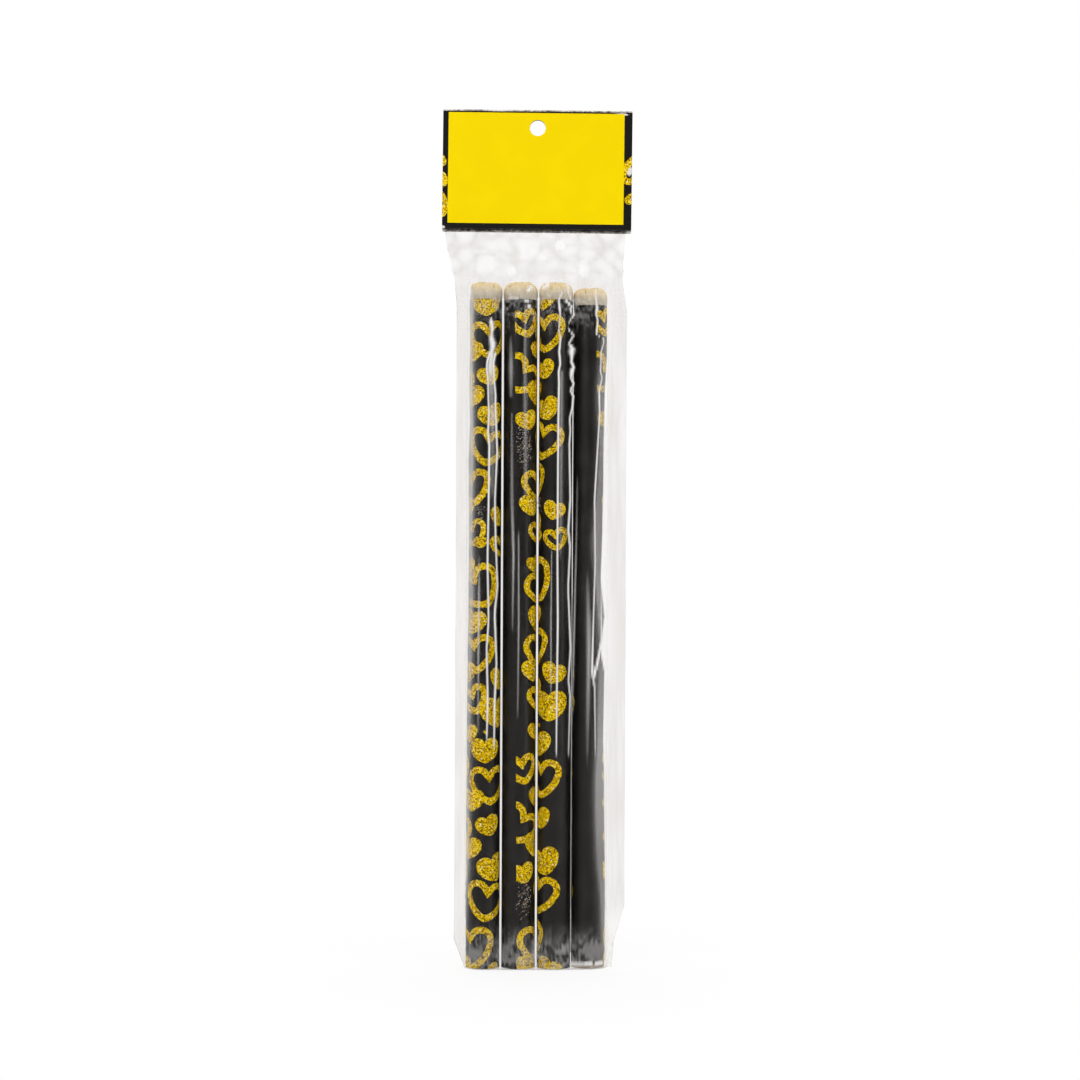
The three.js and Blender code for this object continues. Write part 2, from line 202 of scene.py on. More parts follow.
def clear_polypropylene_film(tree):
    # Drawn polypropylene film: clear and glossy, grey where hazy, with painted shade where it is gathered,
    # and white where creased, partly stress whitening and mostly painted highlights and reflections
    crease_white_and_painted_highlight = add(tree, "ShaderNodeAttribute", attribute_name="crease_white_and_painted_highlight").outputs["Fac"]
    haze_and_painted_shade = add(tree, "ShaderNodeAttribute", attribute_name="haze_and_painted_shade").outputs["Fac"]
    greys = [(0.0, "#ffffff"), (0.6, "#f7f6f5"), (0.85, "#a8a4a1"), (1.0, "#4c4947")]
    tint = add(tree, "ShaderNodeValToRGB", {"Fac": haze_and_painted_shade}, greys)
    clear = add(tree, "ShaderNodeBsdfTransparent", {"Color": tint})
    silver = {"Base Color": linear("#fbfaf9"), "Metallic": 1.0, "Roughness": 0.14}
    mirror = add(tree, "ShaderNodeBsdfPrincipled", silver)
    glance = add(tree, "ShaderNodeLayerWeight", {"Blend": 0.5}).outputs["Facing"]
    bent = add(tree, "ShaderNodeMath", {0: glance, 1: 4.0}, operation="POWER")
    share = add(tree, "ShaderNodeMath", {0: bent, 1: 0.32, 2: 0.0015}, operation="MULTIPLY_ADD")
    skin = add(tree, "ShaderNodeMixShader", {0: share, 1: clear, 2: mirror})
    # Diffuse white for the creases' whitening and for painted highlights and reflections
    stress_white_and_highlight = add(tree, "ShaderNodeBsdfPrincipled", {"Base Color": linear("#fbf9f7"), "Roughness": 0.3})
    return add(tree, "ShaderNodeMixShader", {0: crease_white_and_painted_highlight, 1: skin, 2: stress_white_and_highlight})


BLACK_PAPER = material("varnished_black_paper", varnished_black_paper)
GOLD_INK = material("gold_glitter_ink", gold_glitter_ink)
STRAY_DUST = material("stray_flake_dust", stray_flake_dust)
TISSUE = material("sealing_tissue", sealing_tissue)
CASING_BOARD = material("wound_casing_board", wound_board, "#9a8468", "#d3bd9c", 26)
LINER_BOARD = material("wound_liner_board", wound_board, "#a99a80", "#d8caae", 18)
CHARGE = material("pressed_inert_grains", pressed_grains, "#55524e", "#8a857e", 0.5)
CLAY = material("pressed_clay", pressed_grains, "#a1988a", "#c9c1b3", 0.35)
HEADER_BOARD = material("black_header_board", black_header_board)
YELLOW_INK = material("yellow_offset_ink", yellow_offset_ink)
ADHESIVE = material("dried_adhesive", dried_adhesive)
FILM = material("clear_polypropylene_film", clear_polypropylene_film)


# Shared shapes
MERGE_GAP = 0.0005
CUT_GAP = 0.0001


def smooth_step(value, low, high):
    share = min(max((value - low) / (high - low), 0.0), 1.0)
    return share * share * (3 - 2 * share)


def turned(x, y, angle):
    """A place turned about the origin by this angle."""
    return x * math.cos(angle) - y * math.sin(angle), x * math.sin(angle) + y * math.cos(angle)


def bell(distance, width):
    """1 at no distance, falling to 0.37 at this width."""
    return math.exp(-((distance / width) ** 2))


def in_scene(name, data):
    """A new object with this data, put in the scene."""
    made = bpy.data.objects.new(name, data)
    bpy.context.scene.collection.objects.link(made)
    return made


def plain_mesh(name, points, faces, marks=None):
    """A mesh from points in millimetres, with named values at its points."""
    mesh = bpy.data.meshes.new(name)
    mesh.from_pydata([Vector(p) * MM for p in points], [], faces)
    for label, values in (marks or {}).items():
        mesh.attributes.new(label, "FLOAT", "POINT").data.foreach_set("value", values)
    return mesh


def mesh_piece(name, points, faces, finish, sharp=35, marks=None):
    """A finished piece from points in millimetres: merged, with its faces out and its sharp edges kept."""
    mesh = plain_mesh(name, points, faces, marks)
    shell = bmesh.new()
    shell.from_mesh(mesh)
    bmesh.ops.remove_doubles(shell, verts=shell.verts, dist=MERGE_GAP * MM)
    if shell.calc_volume(signed=True) < 0:
        bmesh.ops.reverse_faces(shell, faces=shell.faces)
    shell.to_mesh(mesh)
    shell.free()
    mesh.shade_smooth()
    mesh.set_sharp_from_angle(angle=math.radians(sharp))
    mesh.materials.append(finish)
    return in_scene(name, mesh)


def loft(rings, joined=False):
    """Points and faces of a skin over rings of equal count, with flat caps or joined end to end."""
    count = len(rings[0])
    points = [p for ring in rings for p in ring]
    faces = []
    spans = len(rings) if joined else len(rings) - 1
    for row in range(spans):
        low = row * count
        high = (row + 1) % len(rings) * count
        for i in range(count):
            j = (i + 1) % count
            faces.append([low + i, low + j, high + j, high + i])
    if not joined:
        faces.append(list(range(count))[::-1])
        faces.append([(len(rings) - 1) * count + i for i in range(count)])
    return points, faces


def circle(axis, radius, z, count=96):
    turns = [2 * math.pi * i / count for i in range(count)]
    return [(axis[0] + radius * math.cos(a), axis[1] + radius * math.sin(a), z) for a in turns]


def thicken(flat, place, low, high):
    """Closes a flat mesh in (u, v) into a sheet from height low to height high, set in space by place."""
    flat.verts.index_update()
    count = len(flat.verts)
    points = [place(v.co.x, v.co.y, height) for height in (low, high) for v in flat.verts]
    faces = []
    for face in flat.faces:
        ring = [v.index for v in face.verts]
        faces.append([i + count for i in ring])
        faces.append(ring[::-1])
    for edge in flat.edges:
        if edge.is_boundary:
            loop = edge.link_loops[0]
            a = loop.vert.index
            b = loop.link_loop_next.vert.index
            faces.append([a, b, b + count, a + count])
    return points, faces


def merged(parts):
    """Several lots of points and faces as one."""
    points = []
    faces = []
    for part_points, part_faces in parts:
        start = len(points)
        points += part_points
        faces += [[i + start for i in face] for face in part_faces]
    return points, faces


def filled(outlines):
    """A flat mesh over the first outline, with the others cut out of it."""
    flat = bmesh.new()
    edges = []
    for outline in outlines:
        corners = [flat.verts.new((u, v, 0)) for u, v in outline]
        edges += [flat.edges.new((a, b)) for a, b in zip(corners, corners[1:] + corners[:1])]
    bmesh.ops.triangle_fill(flat, use_beauty=True, use_dissolve=False, edges=edges)
    bmesh.ops.recalc_face_normals(flat, faces=flat.faces)
    if flat.faces and flat.faces[:][0].normal.z < 0:
        bmesh.ops.reverse_faces(flat, faces=flat.faces)
    return flat


def cut(flat, point, normal, keep_both=True):
    """Cuts a flat mesh along a line, and takes away what lies behind it unless both sides are kept."""
    bmesh.ops.bisect_plane(
        flat,
        geom=flat.verts[:] + flat.edges[:] + flat.faces[:],
        dist=CUT_GAP,
        plane_co=(point[0], point[1], 0),
        plane_no=(normal[0], normal[1], 0),
        clear_inner=not keep_both,
    )


def cut_across(flat, step, axis=0):
    """Cuts a flat mesh into bands, so that it can follow a curve."""
    values = [v.co[axis] for v in flat.verts]
    if not values:
        return
    place = math.ceil(min(values) / step) * step
    while place < max(values):
        point = (place, 0) if axis == 0 else (0, place)
        cut(flat, point, (1, 0) if axis == 0 else (0, 1))
        place += step


def trim(flat, left, right, low, high):
    """Cuts away what lies outside a rectangle."""
    cut(flat, (right, 0), (-1, 0), keep_both=False)
    cut(flat, (left, 0), (1, 0), keep_both=False)
    cut(flat, (0, low), (0, 1), keep_both=False)
    cut(flat, (0, high), (0, -1), keep_both=False)


def rows(kind, *lines):
    """Plain rows of numbers as rows of this kind, with named columns."""
    return [kind(*line) for line in lines]


# Heart ornament
LOBE_RADIUS = 0.27
LOBE_PLACE = (0.23, 0.13)
LOBE_TURN = (148.7, -38)
FLANK_START = (0.443, -0.036)
FLANK_PULL = (0.425, -0.15)
TIP_PULL = (0.215, 0.06)
RING_TIP = 0.44
SOLID_TIP = 0.38
TONGUE = 1.6
HEART_STEPS = 14
NOTCH_GAP = 0.001
STROKE_KEPT = 0.985
Heart = namedtuple("Heart", "across down width turn stroke", defaults=(0, 0))


def bezier(corners, t):
    s = 1 - t
    shares = (s**3, 3 * s * s * t, 3 * s * t * t, t**3)
    return Vector([sum(k * c[i] for k, c in zip(shares, corners)) for i in (0, 1)])


def right_side(width, tip):
    """A heart's right side from its blunt tip up a full flank and round a lobe to its notch, with y up."""
    flank_line = (FLANK_START, FLANK_PULL, (TIP_PULL[0], TIP_PULL[1] - tip), (0, -tip))
    lobe = []
    for i in range(HEART_STEPS):
        angle = math.radians(LOBE_TURN[0] + (LOBE_TURN[1] - LOBE_TURN[0]) * i / HEART_STEPS)
        lobe.append(Vector(LOBE_PLACE) + Vector((math.cos(angle), math.sin(angle))) * LOBE_RADIUS)
    flank = [bezier(flank_line, i / HEART_STEPS) for i in range(HEART_STEPS + 1)]
    side = [p * width for p in (lobe + flank)[::-1]]
    side[-1].x = 0
    return side


def both_sides(right):
    """A closed outline from a right side and its mirror image."""
    return right + [Vector((-p.x, p.y)) for p in right[::-1] if p.x > NOTCH_GAP]


def clearance(point, outline):
    """The distance from a point to a closed outline."""
    best = math.inf
    for a, b in zip(outline, outline[1:] + outline[:1]):
        run = b - a
        share = min(max((point - a).dot(run) / run.length_squared, 0), 1)
        best = min(best, (point - a - run * share).length)
    return best


def inner_side(right, stroke):
    """The right side of the line that runs this far inside a heart, down to the tongue under its notch."""
    outline = both_sides(right)
    inside = []
    for before, point, after in zip(right, right[1:], right[2:]):
        way = (after - before).normalized()
        moved = point + Vector((-way.y, way.x)) * stroke
        if moved.x > 0 and clearance(moved, outline) > STROKE_KEPT * stroke:
            inside.append(moved)
    return inside + [right[-1] - Vector((0, TONGUE * stroke))]


def heart_patch(heart, drop):
    """A flat heart in (across, down) millimetres, moved down by drop."""
    right = right_side(heart.width, RING_TIP if heart.stroke else SOLID_TIP)
    lines = [both_sides(right)]
    if heart.stroke:
        lines.append(both_sides(inner_side(right, heart.stroke)))
    placed = []
    for line in lines:
        way = [turned(p.x, p.y, math.radians(heart.turn)) for p in line]
        placed.append([(heart.across + x, heart.down + drop - y) for x, y in way])
    return filled(placed)


# Gold ink: its margin from the sheet's edge, how deep it starts, how high it stands, and its steps in height
Ink = namedtuple("Ink", "margin sink rise step")
WRAP_INK = Ink(0.02, 0.03, 0.02, 0.003)
CARD_INK = Ink(0.05, 0.03, 0.01, 0.002)


def gold_print(hearts, drop, box, ink, paper, place, band=None):
    """Points and faces of hearts inked on a sheet this thick, in a box, cut into bands to follow a curve."""
    left, right, low, high = box
    parts = []
    for number, heart in enumerate(hearts):
        flat = heart_patch(heart, drop)
        trim(flat, left + ink.margin, right - ink.margin, low + ink.margin, high - ink.margin)
        if band:
            cut_across(flat, band)
        if flat.faces:
            rise = ink.rise + ink.step * (number % 3)
            parts.append(thicken(flat, place, paper - ink.sink, paper + rise))
        flat.free()
    return merged(parts)


# Printed wraps, rolled from a sheet
WRAP_RADIUS = 7.36
WRAP_PAPER = 0.1
WRAP_LAP = 5.0
LAP_EASE = 1.6
WRAP_GIRTH = 2 * math.pi * WRAP_RADIUS
WRAP_LENGTH = 291.7
SHEET_STEP = 0.3
SHEET_BAND = 12
PAPER_SINK = 0.004
HEART_BAND = 0.8
RING = 2.9
FINE_RING = 2.3

# Where each sheet's trimmed edge starts at its top, in millimetres round the tube from the front, how far it
# has strayed at the foot because the sheet was rolled askew, and how far the print is moved up
Roll = namedtuple("Roll", "edge stray lift")
ROLLS = {
    1: Roll(18.4, -1.3, 0.7),
    2: Roll(2.45, -1.9, 1.8),
    3: Roll(25.7, 1.9, 3.6),
    4: Roll(-2.2, -6.4, 4.9),
}

# Hearts on the sheet: millimetres from its trimmed edge, down from its top, width, turn and stroke
WRAP_HEARTS = rows(
    Heart,
    (19, 2.8, 14.4), (20.3, 18.2, 20, 4, RING), (12.6, 23.9, 10.6, 6), (20.2, 34.3, 10.7, 17),
    (4.6, 12.1, 15, 13, RING), (2.9, 35.1, 20, -35, RING), (11.4, 42.9, 13.2, -12),
    (5.5, 54.7, 10.8, 15), (21.6, 51.5, 12.8, 17), (19.8, 65, 19.9, -10, RING),
    (12.2, 82.9, 18.8, 11, RING), (7.6, 91.8, 12, 5), (12.9, 102.9, 13.7, 22, FINE_RING),
    (16.3, 106.9, 6.4), (25.6, 95.8, 10.5, -15), (26.6, 108, 12, 10, FINE_RING), (9.5, 117.4, 9.2, 12),
    (15.3, 126.6, 22, 31, RING), (12.1, 141.5, 14, -12), (13.6, 155.3, 20.3, 6, RING),
    (8.4, 163.9, 12, 3), (26.1, 166.7, 11.9, -17), (12.9, 175.3, 15.4, 20, RING), (24.2, 181, 17.2, 2),
    (10.3, 190.2, 9.8, 8), (18.6, 189.4, 2), (18.4, 197.6, 14.2, 2), (20.4, 212.3, 20.4, 2, RING),
    (12, 219.3, 12.4, 0), (20, 230.2, 11.6, 17), (2.9, 206.4, 15.8, 10, RING),
    (1.4, 230.8, 20.5, -35, RING), (10, 240, 13.4, -12), (3.2, 252, 11.5, 15),
    (22.5, 248.9, 15.2, 17), (19.2, 262.8, 21.2, -9, RING), (11.6, 283.5, 22.6, 6, RING),
    (5.7, 292.5, 12.5, 5), (25, 295.6, 12.5, -22),
)


def millimetres(node):
    """A node's lowest and highest corners in millimetres."""
    return [[c / MM for c in corner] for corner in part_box(node)]


def tube_axis(tag):
    low, high = millimetres(f"casing_tube_{tag}")
    return (low[0] + high[0]) / 2, (low[1] + high[1]) / 2


def on_sheet(tag):
    """Sets a place on the printed sheet, across from its trimmed edge and down from its top, in space."""
    axis = tube_axis(tag)
    top = millimetres(f"printed_wrap_{tag}")[1][2]
    rolled = ROLLS[tag]

    def place(across, down, height):
        edge = rolled.edge + rolled.stray * down / WRAP_LENGTH
        angle = -math.pi / 2 + (across - edge) / WRAP_RADIUS
        lap = WRAP_PAPER * (1 - smooth_step(across, WRAP_LAP, WRAP_LAP + LAP_EASE))
        radius = WRAP_RADIUS + lap + height
        return axis[0] + radius * math.cos(angle), axis[1] + radius * math.sin(angle), top - down

    return place


def sheet_grid(width, height, step_across, step_down):
    """A flat rectangle in even steps of about these sizes."""
    flat = bmesh.new()
    columns = math.ceil(width / step_across)
    bands = math.ceil(height / step_down)
    bmesh.ops.create_grid(flat, x_segments=columns, y_segments=bands, size=0.5)
    for vert in flat.verts:
        vert.co = Vector(((vert.co.x + 0.5) * width, (vert.co.y + 0.5) * height, 0))
    return flat


def printed_wrap(tag):
    low, high = millimetres(f"printed_wrap_{tag}")
    flat = sheet_grid(WRAP_GIRTH + WRAP_LAP, high[2] - low[2], SHEET_STEP, SHEET_BAND)
    points, faces = thicken(flat, on_sheet(tag), -WRAP_PAPER, -PAPER_SINK)
    flat.free()
    piece = mesh_piece(f"rolled_wrap_{tag}", points, faces, BLACK_PAPER)
    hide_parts(f"printed_wrap_{tag}")
    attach(piece, f"fountain_{tag}")


def printed_hearts(tag):
    low, high = millimetres(f"printed_wrap_{tag}")
    box = (0, WRAP_GIRTH, 0, high[2] - low[2])
    lift = ROLLS[tag].lift
    points, faces = gold_print(WRAP_HEARTS, -lift, box, WRAP_INK, 0, on_sheet(tag), HEART_BAND)
    piece = mesh_piece(f"gold_hearts_{tag}", points, faces, GOLD_INK)
    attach(piece, f"fountain_{tag}")


# Gold dust strayed from the print: soft-edged fields of specks on the sheet
Field = namedtuple("Field", "across down half_width half_height")
DUST_FIELDS = (Field(4.0, 65.5, 3.9, 10.0), Field(3.6, 263.0, 3.5, 9.5), Field(16.5, 93.0, 3.0, 3.5))
DUST_GRID = 1.0
DUST_DENSITY = 1.7e6
DUST_RISE = 0.14
SPECK_RADIUS = 0.23
DUST_SEED = 5


def scatter_tree():
    """Scatters specks over a mesh, closest where its value named thick is highest."""
    tree = bpy.data.node_groups.new("scattered_specks", "GeometryNodeTree")
    for name, kind, way in (
        ("Geometry", "Geometry", "INPUT"),
        ("Density", "Float", "INPUT"),
        ("Speck Radius", "Float", "INPUT"),
        ("Seed", "Int", "INPUT"),
        ("Finish", "Material", "INPUT"),
        ("Geometry", "Geometry", "OUTPUT"),
    ):
        tree.interface.new_socket(name=name, in_out=way, socket_type=f"NodeSocket{kind}")
    given = add(tree, "NodeGroupInput").outputs
    thick = add(tree, "GeometryNodeInputNamedAttribute", {"Name": "thick"}, data_type="FLOAT")
    share = thick.outputs["Attribute"]
    density = add(tree, "ShaderNodeMath", {0: share, 1: given["Density"]}, operation="MULTIPLY")
    sheet = {"Mesh": given["Geometry"], "Density": density, "Seed": given["Seed"]}
    points = add(tree, "GeometryNodeDistributePointsOnFaces", sheet).outputs
    speck = add(tree, "GeometryNodeMeshIcoSphere", {"Radius": given["Speck Radius"], "Subdivisions": 1})
    sizes = {2: 0.5, 3: 1.4, 8: given["Seed"]}
    size = add(tree, "FunctionNodeRandomValue", sizes, data_type="FLOAT").outputs[1]
    strewn = {"Points": points["Points"], "Instance": speck, "Rotation": points["Rotation"], "Scale": size}
    placed = add(tree, "GeometryNodeInstanceOnPoints", strewn)
    real = add(tree, "GeometryNodeRealizeInstances", {"Geometry": placed})
    painted = add(tree, "GeometryNodeSetMaterial", {"Geometry": real, "Material": given["Finish"]})
    add(tree, "NodeGroupOutput", {"Geometry": painted})
    return tree


def dust_patch(field, tag):
    """Points, faces and thickness of dust over one field of the print."""
    roll = on_sheet(tag)
    flat = sheet_grid(2 * field.half_width, 2 * field.half_height, DUST_GRID, DUST_GRID)
    points = []
    thick = []
    for vert in flat.verts:
        u = vert.co.x - field.half_width
        v = vert.co.y - field.half_height
        points.append(roll(field.across + u, field.down + v - ROLLS[tag].lift, DUST_RISE))
        thick.append(max(0.0, 1 - (u / field.half_width) ** 4 - (v / field.half_height) ** 2))
    flat.verts.index_update()
    faces = [[v.index for v in face.verts] for face in flat.faces]
    flat.free()
    return points, faces, thick


def gold_dust(tag, tree):
    patches = [dust_patch(field, tag) for field in DUST_FIELDS]
    points, faces = merged([patch[:2] for patch in patches])
    thick = [share for patch in patches for share in patch[2]]
    carrier = in_scene("dusted_sheet", plain_mesh("dusted_sheet", points, faces, {"thick": thick}))
    scatter = carrier.modifiers.new("scattered_specks", "NODES")
    scatter.node_group = tree
    sockets = {item.name: item.identifier for item in tree.interface.items_tree if item.in_out == "INPUT"}
    scatter[sockets["Density"]] = DUST_DENSITY
    scatter[sockets["Speck Radius"]] = SPECK_RADIUS * MM
    scatter[sockets["Seed"]] = DUST_SEED + tag
    scatter[sockets["Finish"]] = STRAY_DUST
    seen = carrier.evaluated_get(bpy.context.evaluated_depsgraph_get())
    specks = bpy.data.meshes.new_from_object(seen)
    bpy.data.objects.remove(carrier)
    specks.materials.pop(index=0)
    specks.name = f"gold_dust_{tag}"
    piece = in_scene(f"gold_dust_{tag}", specks)
    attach(piece, f"fountain_{tag}")


# Sealing papers, folded over the tube ends
PLEATS = 14
TISSUE_RADIUS = 7.19
PUFFED_RADIUS = 7.5
TISSUE_PAPER = 0.14
CUP_POINTS = 168
CUP_EASE = 0.1
CUP_SHOULDER = 1.2
CUP_MIDDLE = 0.2
RIM_PALENESS = 0.7


def paper_ring(axis, radius, z, depth, ragged, seed):
    """A pleated ring: depth is how deep its pleats are, and ragged how far its height strays."""
    ring = []
    for i in range(CUP_POINTS):
        angle = 2 * math.pi * i / CUP_POINTS
        wander = noise.noise(Vector((3 * math.cos(angle), 3 * math.sin(angle), seed + z * 0.08)))
        fold = 0.5 + 0.5 * math.cos(PLEATS * angle + 2.2 * wander + 0.05 * z)
        r = radius - depth * fold**2
        torn = noise.noise(Vector((9 * math.cos(angle), 9 * math.sin(angle), seed + 5)))
        lift = ragged * (0.7 * wander + 0.6 * torn)
        ring.append((axis[0] + r * math.cos(angle), axis[1] + r * math.sin(angle), z + lift))
    return ring


def cup_profile(foot, wrap_top, top):
    """Radius, height, depth of pleats and raggedness, from the paper's foot over its rim to its middle."""
    return [
        (TISSUE_RADIUS, foot, 0.0, 0.0),
        (TISSUE_RADIUS, wrap_top - 1, 0.0, 0.0),
        (TISSUE_RADIUS + 0.03, wrap_top + 0.3, 0.02, 0.0),
        (TISSUE_RADIUS + 0.22, wrap_top + 1.3, 0.05, 0.1),
        (PUFFED_RADIUS, wrap_top + 2.7, 0.1, 0.2),
        (PUFFED_RADIUS, top - 4.2, 0.12, 0.4),
        (PUFFED_RADIUS - 0.12, top - 3.3, 0.14, 0.6),
        (PUFFED_RADIUS - 0.4, top - 2.5, 0.17, 0.8),
        (PUFFED_RADIUS - 0.9, top - 1.75, 0.2, 0.9),
        (PUFFED_RADIUS - 1.7, top - 1.1, 0.26, 0.9),
        (PUFFED_RADIUS - 2.8, top - 0.68, 0.34, 0.8),
        (PUFFED_RADIUS - 4.2, top - 0.42, 0.4, 0.5),
        (PUFFED_RADIUS - 6.0, top - 0.3, 0.25, 0.2),
        (PUFFED_RADIUS - 6.8, top - 0.25, 0.12, 0.1),
        (0.25, top - 0.25, 0.0, 0.0),
    ]


def sealing_paper(tag):
    low, high = millimetres(f"sealing_paper_{tag}")
    axis = tube_axis(tag)
    top = high[2] - CUP_EASE
    wrap_top = millimetres(f"printed_wrap_{tag}")[1][2]
    seed = 11.3 * tag
    outside = cup_profile(low[2], wrap_top, top)
    inside = []
    for radius, z, depth, ragged in outside:
        share = smooth_step(radius, TISSUE_RADIUS - CUP_SHOULDER, TISSUE_RADIUS)
        moved = (max(radius - TISSUE_PAPER * share, CUP_MIDDLE), z - TISSUE_PAPER * (1 - share))
        inside.append((*moved, depth, ragged))
    rings = [paper_ring(axis, *row, seed) for row in outside[::-1] + inside]
    points, faces = loft(rings)
    rim = [RIM_PALENESS * smooth_step(p[2], wrap_top, top - 1) for p in points]
    piece = mesh_piece(f"folded_sealing_paper_{tag}", points, faces, TISSUE, 60, {"rim": rim})
    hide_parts(f"sealing_paper_{tag}")
    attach(piece, f"fountain_{tag}")


# Casings, whose feet show
CASING_WALL = 1.2
CASING_OUTER = 7.0
BARE_OUTER = 7.2
EDGE_ROUND = 0.15
RIM_PRESSED = 2.2
FOOT_STEP = 0.1
PAPER_CLEAR = 0.3


def casing(tag):
    low, high = millimetres(f"casing_tube_{tag}")
    axis = tube_axis(tag)
    inner = CASING_OUTER - CASING_WALL
    step = millimetres(f"sealing_paper_{tag}")[0][2] - PAPER_CLEAR
    profile = [
        (inner + EDGE_ROUND, low[2]),
        (BARE_OUTER - EDGE_ROUND, low[2]),
        (BARE_OUTER, low[2] + EDGE_ROUND),
        (BARE_OUTER, step),
        (CASING_OUTER, step + FOOT_STEP),
        (CASING_OUTER, high[2] - RIM_PRESSED),
        (CASING_OUTER - 0.3 * RIM_PRESSED, high[2] - 0.55 * RIM_PRESSED),
        (inner, high[2] - 0.45 * RIM_PRESSED),
        (inner, low[2] + EDGE_ROUND),
    ]
    points, faces = loft([circle(axis, r, z) for r, z in profile], joined=True)
    piece = mesh_piece(f"wound_casing_{tag}", points, faces, CASING_BOARD)
    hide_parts(f"casing_tube_{tag}")
    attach(piece, f"fountain_{tag}")


# Header card, one board folded over the bag's mouth
CARD_LOW, CARD_HIGH = millimetres("header_card")
CARD_BOARD = 0.4
CARD_MIDDLE = (CARD_LOW[1] + CARD_HIGH[1]) / 2
FOLD_OUTER = (CARD_HIGH[1] - CARD_LOW[1]) / 2
FOLD_RADIUS = FOLD_OUTER - CARD_BOARD / 2
FOLD_CENTRE = CARD_HIGH[2] - FOLD_OUTER
REAR_DROP = 1.4
FRONT_RUN = FOLD_CENTRE - CARD_LOW[2] - REAR_DROP
FOLD_RUN = math.pi * FOLD_RADIUS
CARD_RUN = 2 * FRONT_RUN + FOLD_RUN + REAR_DROP
PEG_HOLE_RADIUS = 3.5
HOLE_DROP = 8.0
CORNER_CUT = 0.5
CARD_SKEW = math.radians(0.45)
FOLD_PALE = (1.3, 0.5)
SIDE_RUBBED = 0.35
FOOT_RUBBED = (0.2, 0.4)
PATCH_PALENESS = 2.2
PALENESS_LIMIT = 1.6
PANEL_LEFT = -39.1
PANEL_RIGHT = 38.0
PANEL_LOW = 2.4
PANEL_HIGH = 50.95
PANEL_CORNER = 0.15
PANEL_SINK = 0.02
PANEL_RISE = 0.03
PANEL_HOLE_EASE = 0.01
PANEL_BAND = 6.0
FOLD_BANDS = 16
CARD_BAND_ACROSS = 2.0
CARD_BAND_ALONG = 2.5


def hung_askew(x, y, z):
    """Turns a place on the card about the card's middle."""
    middle = (CARD_LOW[2] + CARD_HIGH[2]) / 2
    across, up = turned(x, z - middle, -CARD_SKEW)
    return across, y, middle + up


def on_card(across, along, height):
    """Sets a place on the unfolded card, along from the front panel's lower edge, in space."""
    lift = height - CARD_BOARD / 2
    if along < FRONT_RUN:
        return hung_askew(across, CARD_MIDDLE - FOLD_RADIUS - lift, CARD_LOW[2] + REAR_DROP + along)
    if along < FRONT_RUN + FOLD_RUN:
        angle = (along - FRONT_RUN) / FOLD_RADIUS
        radius = FOLD_RADIUS + lift
        return hung_askew(
            across, CARD_MIDDLE - radius * math.cos(angle), FOLD_CENTRE + radius * math.sin(angle)
        )
    return hung_askew(across, CARD_MIDDLE + FOLD_RADIUS + lift, FOLD_CENTRE - (along - FRONT_RUN - FOLD_RUN))


def hole_line(along, radius=PEG_HOLE_RADIUS):
    return [(x, y) for x, y, _ in circle((0, along), radius, 0, 48)]


def rounded_box(left, right, low, high, corner, count=5):
    """The outline of a rectangle with rounded corners."""
    line = []
    for centre_x, centre_y, start in (
        (right - corner, low + corner, -90),
        (right - corner, high - corner, 0),
        (left + corner, high - corner, 90),
        (left + corner, low + corner, 180),
    ):
        for i in range(count):
            angle = math.radians(start + 90 * i / (count - 1))
            line.append((centre_x + corner * math.cos(angle), centre_y + corner * math.sin(angle)))
    return line


def hole_places():
    """Where the peg hole's centre lies along the unfolded card, in the front panel and in the rear one."""
    drop = HOLE_DROP - FOLD_OUTER
    return FRONT_RUN - drop, FRONT_RUN + FOLD_RUN + drop


# Pale patches on the front panel: a painted glint on the right border, a painted highlight along the fold and
# a pale spot at the lower left corner
PalePatch = namedtuple("PalePatch", "x z half_width half_height")
PALE_PATCHES = (
    PalePatch(40.4, 349.0, 1.3, 2.2),
    PalePatch(36.6, 373.6, 3.4, 0.55),
    PalePatch(-41.5, 324.0, 1.1, 0.8),
)


def paleness_share(point):
    """How pale the card is: along its fold, rubbed at its outer edges, and in a few patches, two of them
    painted highlights.
    """
    x, y, z = point
    hung = z + CARD_SKEW * x
    fold = smooth_step(hung, CARD_HIGH[2] - FOLD_PALE[0], CARD_HIGH[2] - FOLD_PALE[1])
    side = smooth_step(abs(x), CARD_HIGH[0] - SIDE_RUBBED, CARD_HIGH[0])
    front_foot = CARD_LOW[2] + REAR_DROP
    foot = 1 - smooth_step(hung, front_foot - FOOT_RUBBED[0], front_foot + FOOT_RUBBED[1])
    patch = 0.5 + noise.noise(Vector((x * 0.09, z * 0.12, 4.0)))
    paleness = fold * (0.8 + 0.5 * patch) + 0.75 * side * patch + 0.95 * foot
    if y < CARD_MIDDLE:
        # Two of these patches are painted highlights: a glint and the fold's curve catching the light
        spots = [bell(x - w.x, w.half_width) * bell(z - w.z, w.half_height) for w in PALE_PATCHES]
        paleness = max(paleness, PATCH_PALENESS * max(spots))
    return min(PALENESS_LIMIT, paleness)


def cut_finely(flat, whitening):
    """Gives a pale patch of the front panel enough points for its shade."""
    along = whitening.z - CARD_LOW[2] - REAR_DROP
    for step in range(-4, 5):
        cut(flat, (whitening.x + step * whitening.half_width / 2.5, 0), (1, 0))
        cut(flat, (0, along + step * whitening.half_height / 2.5), (0, 1))


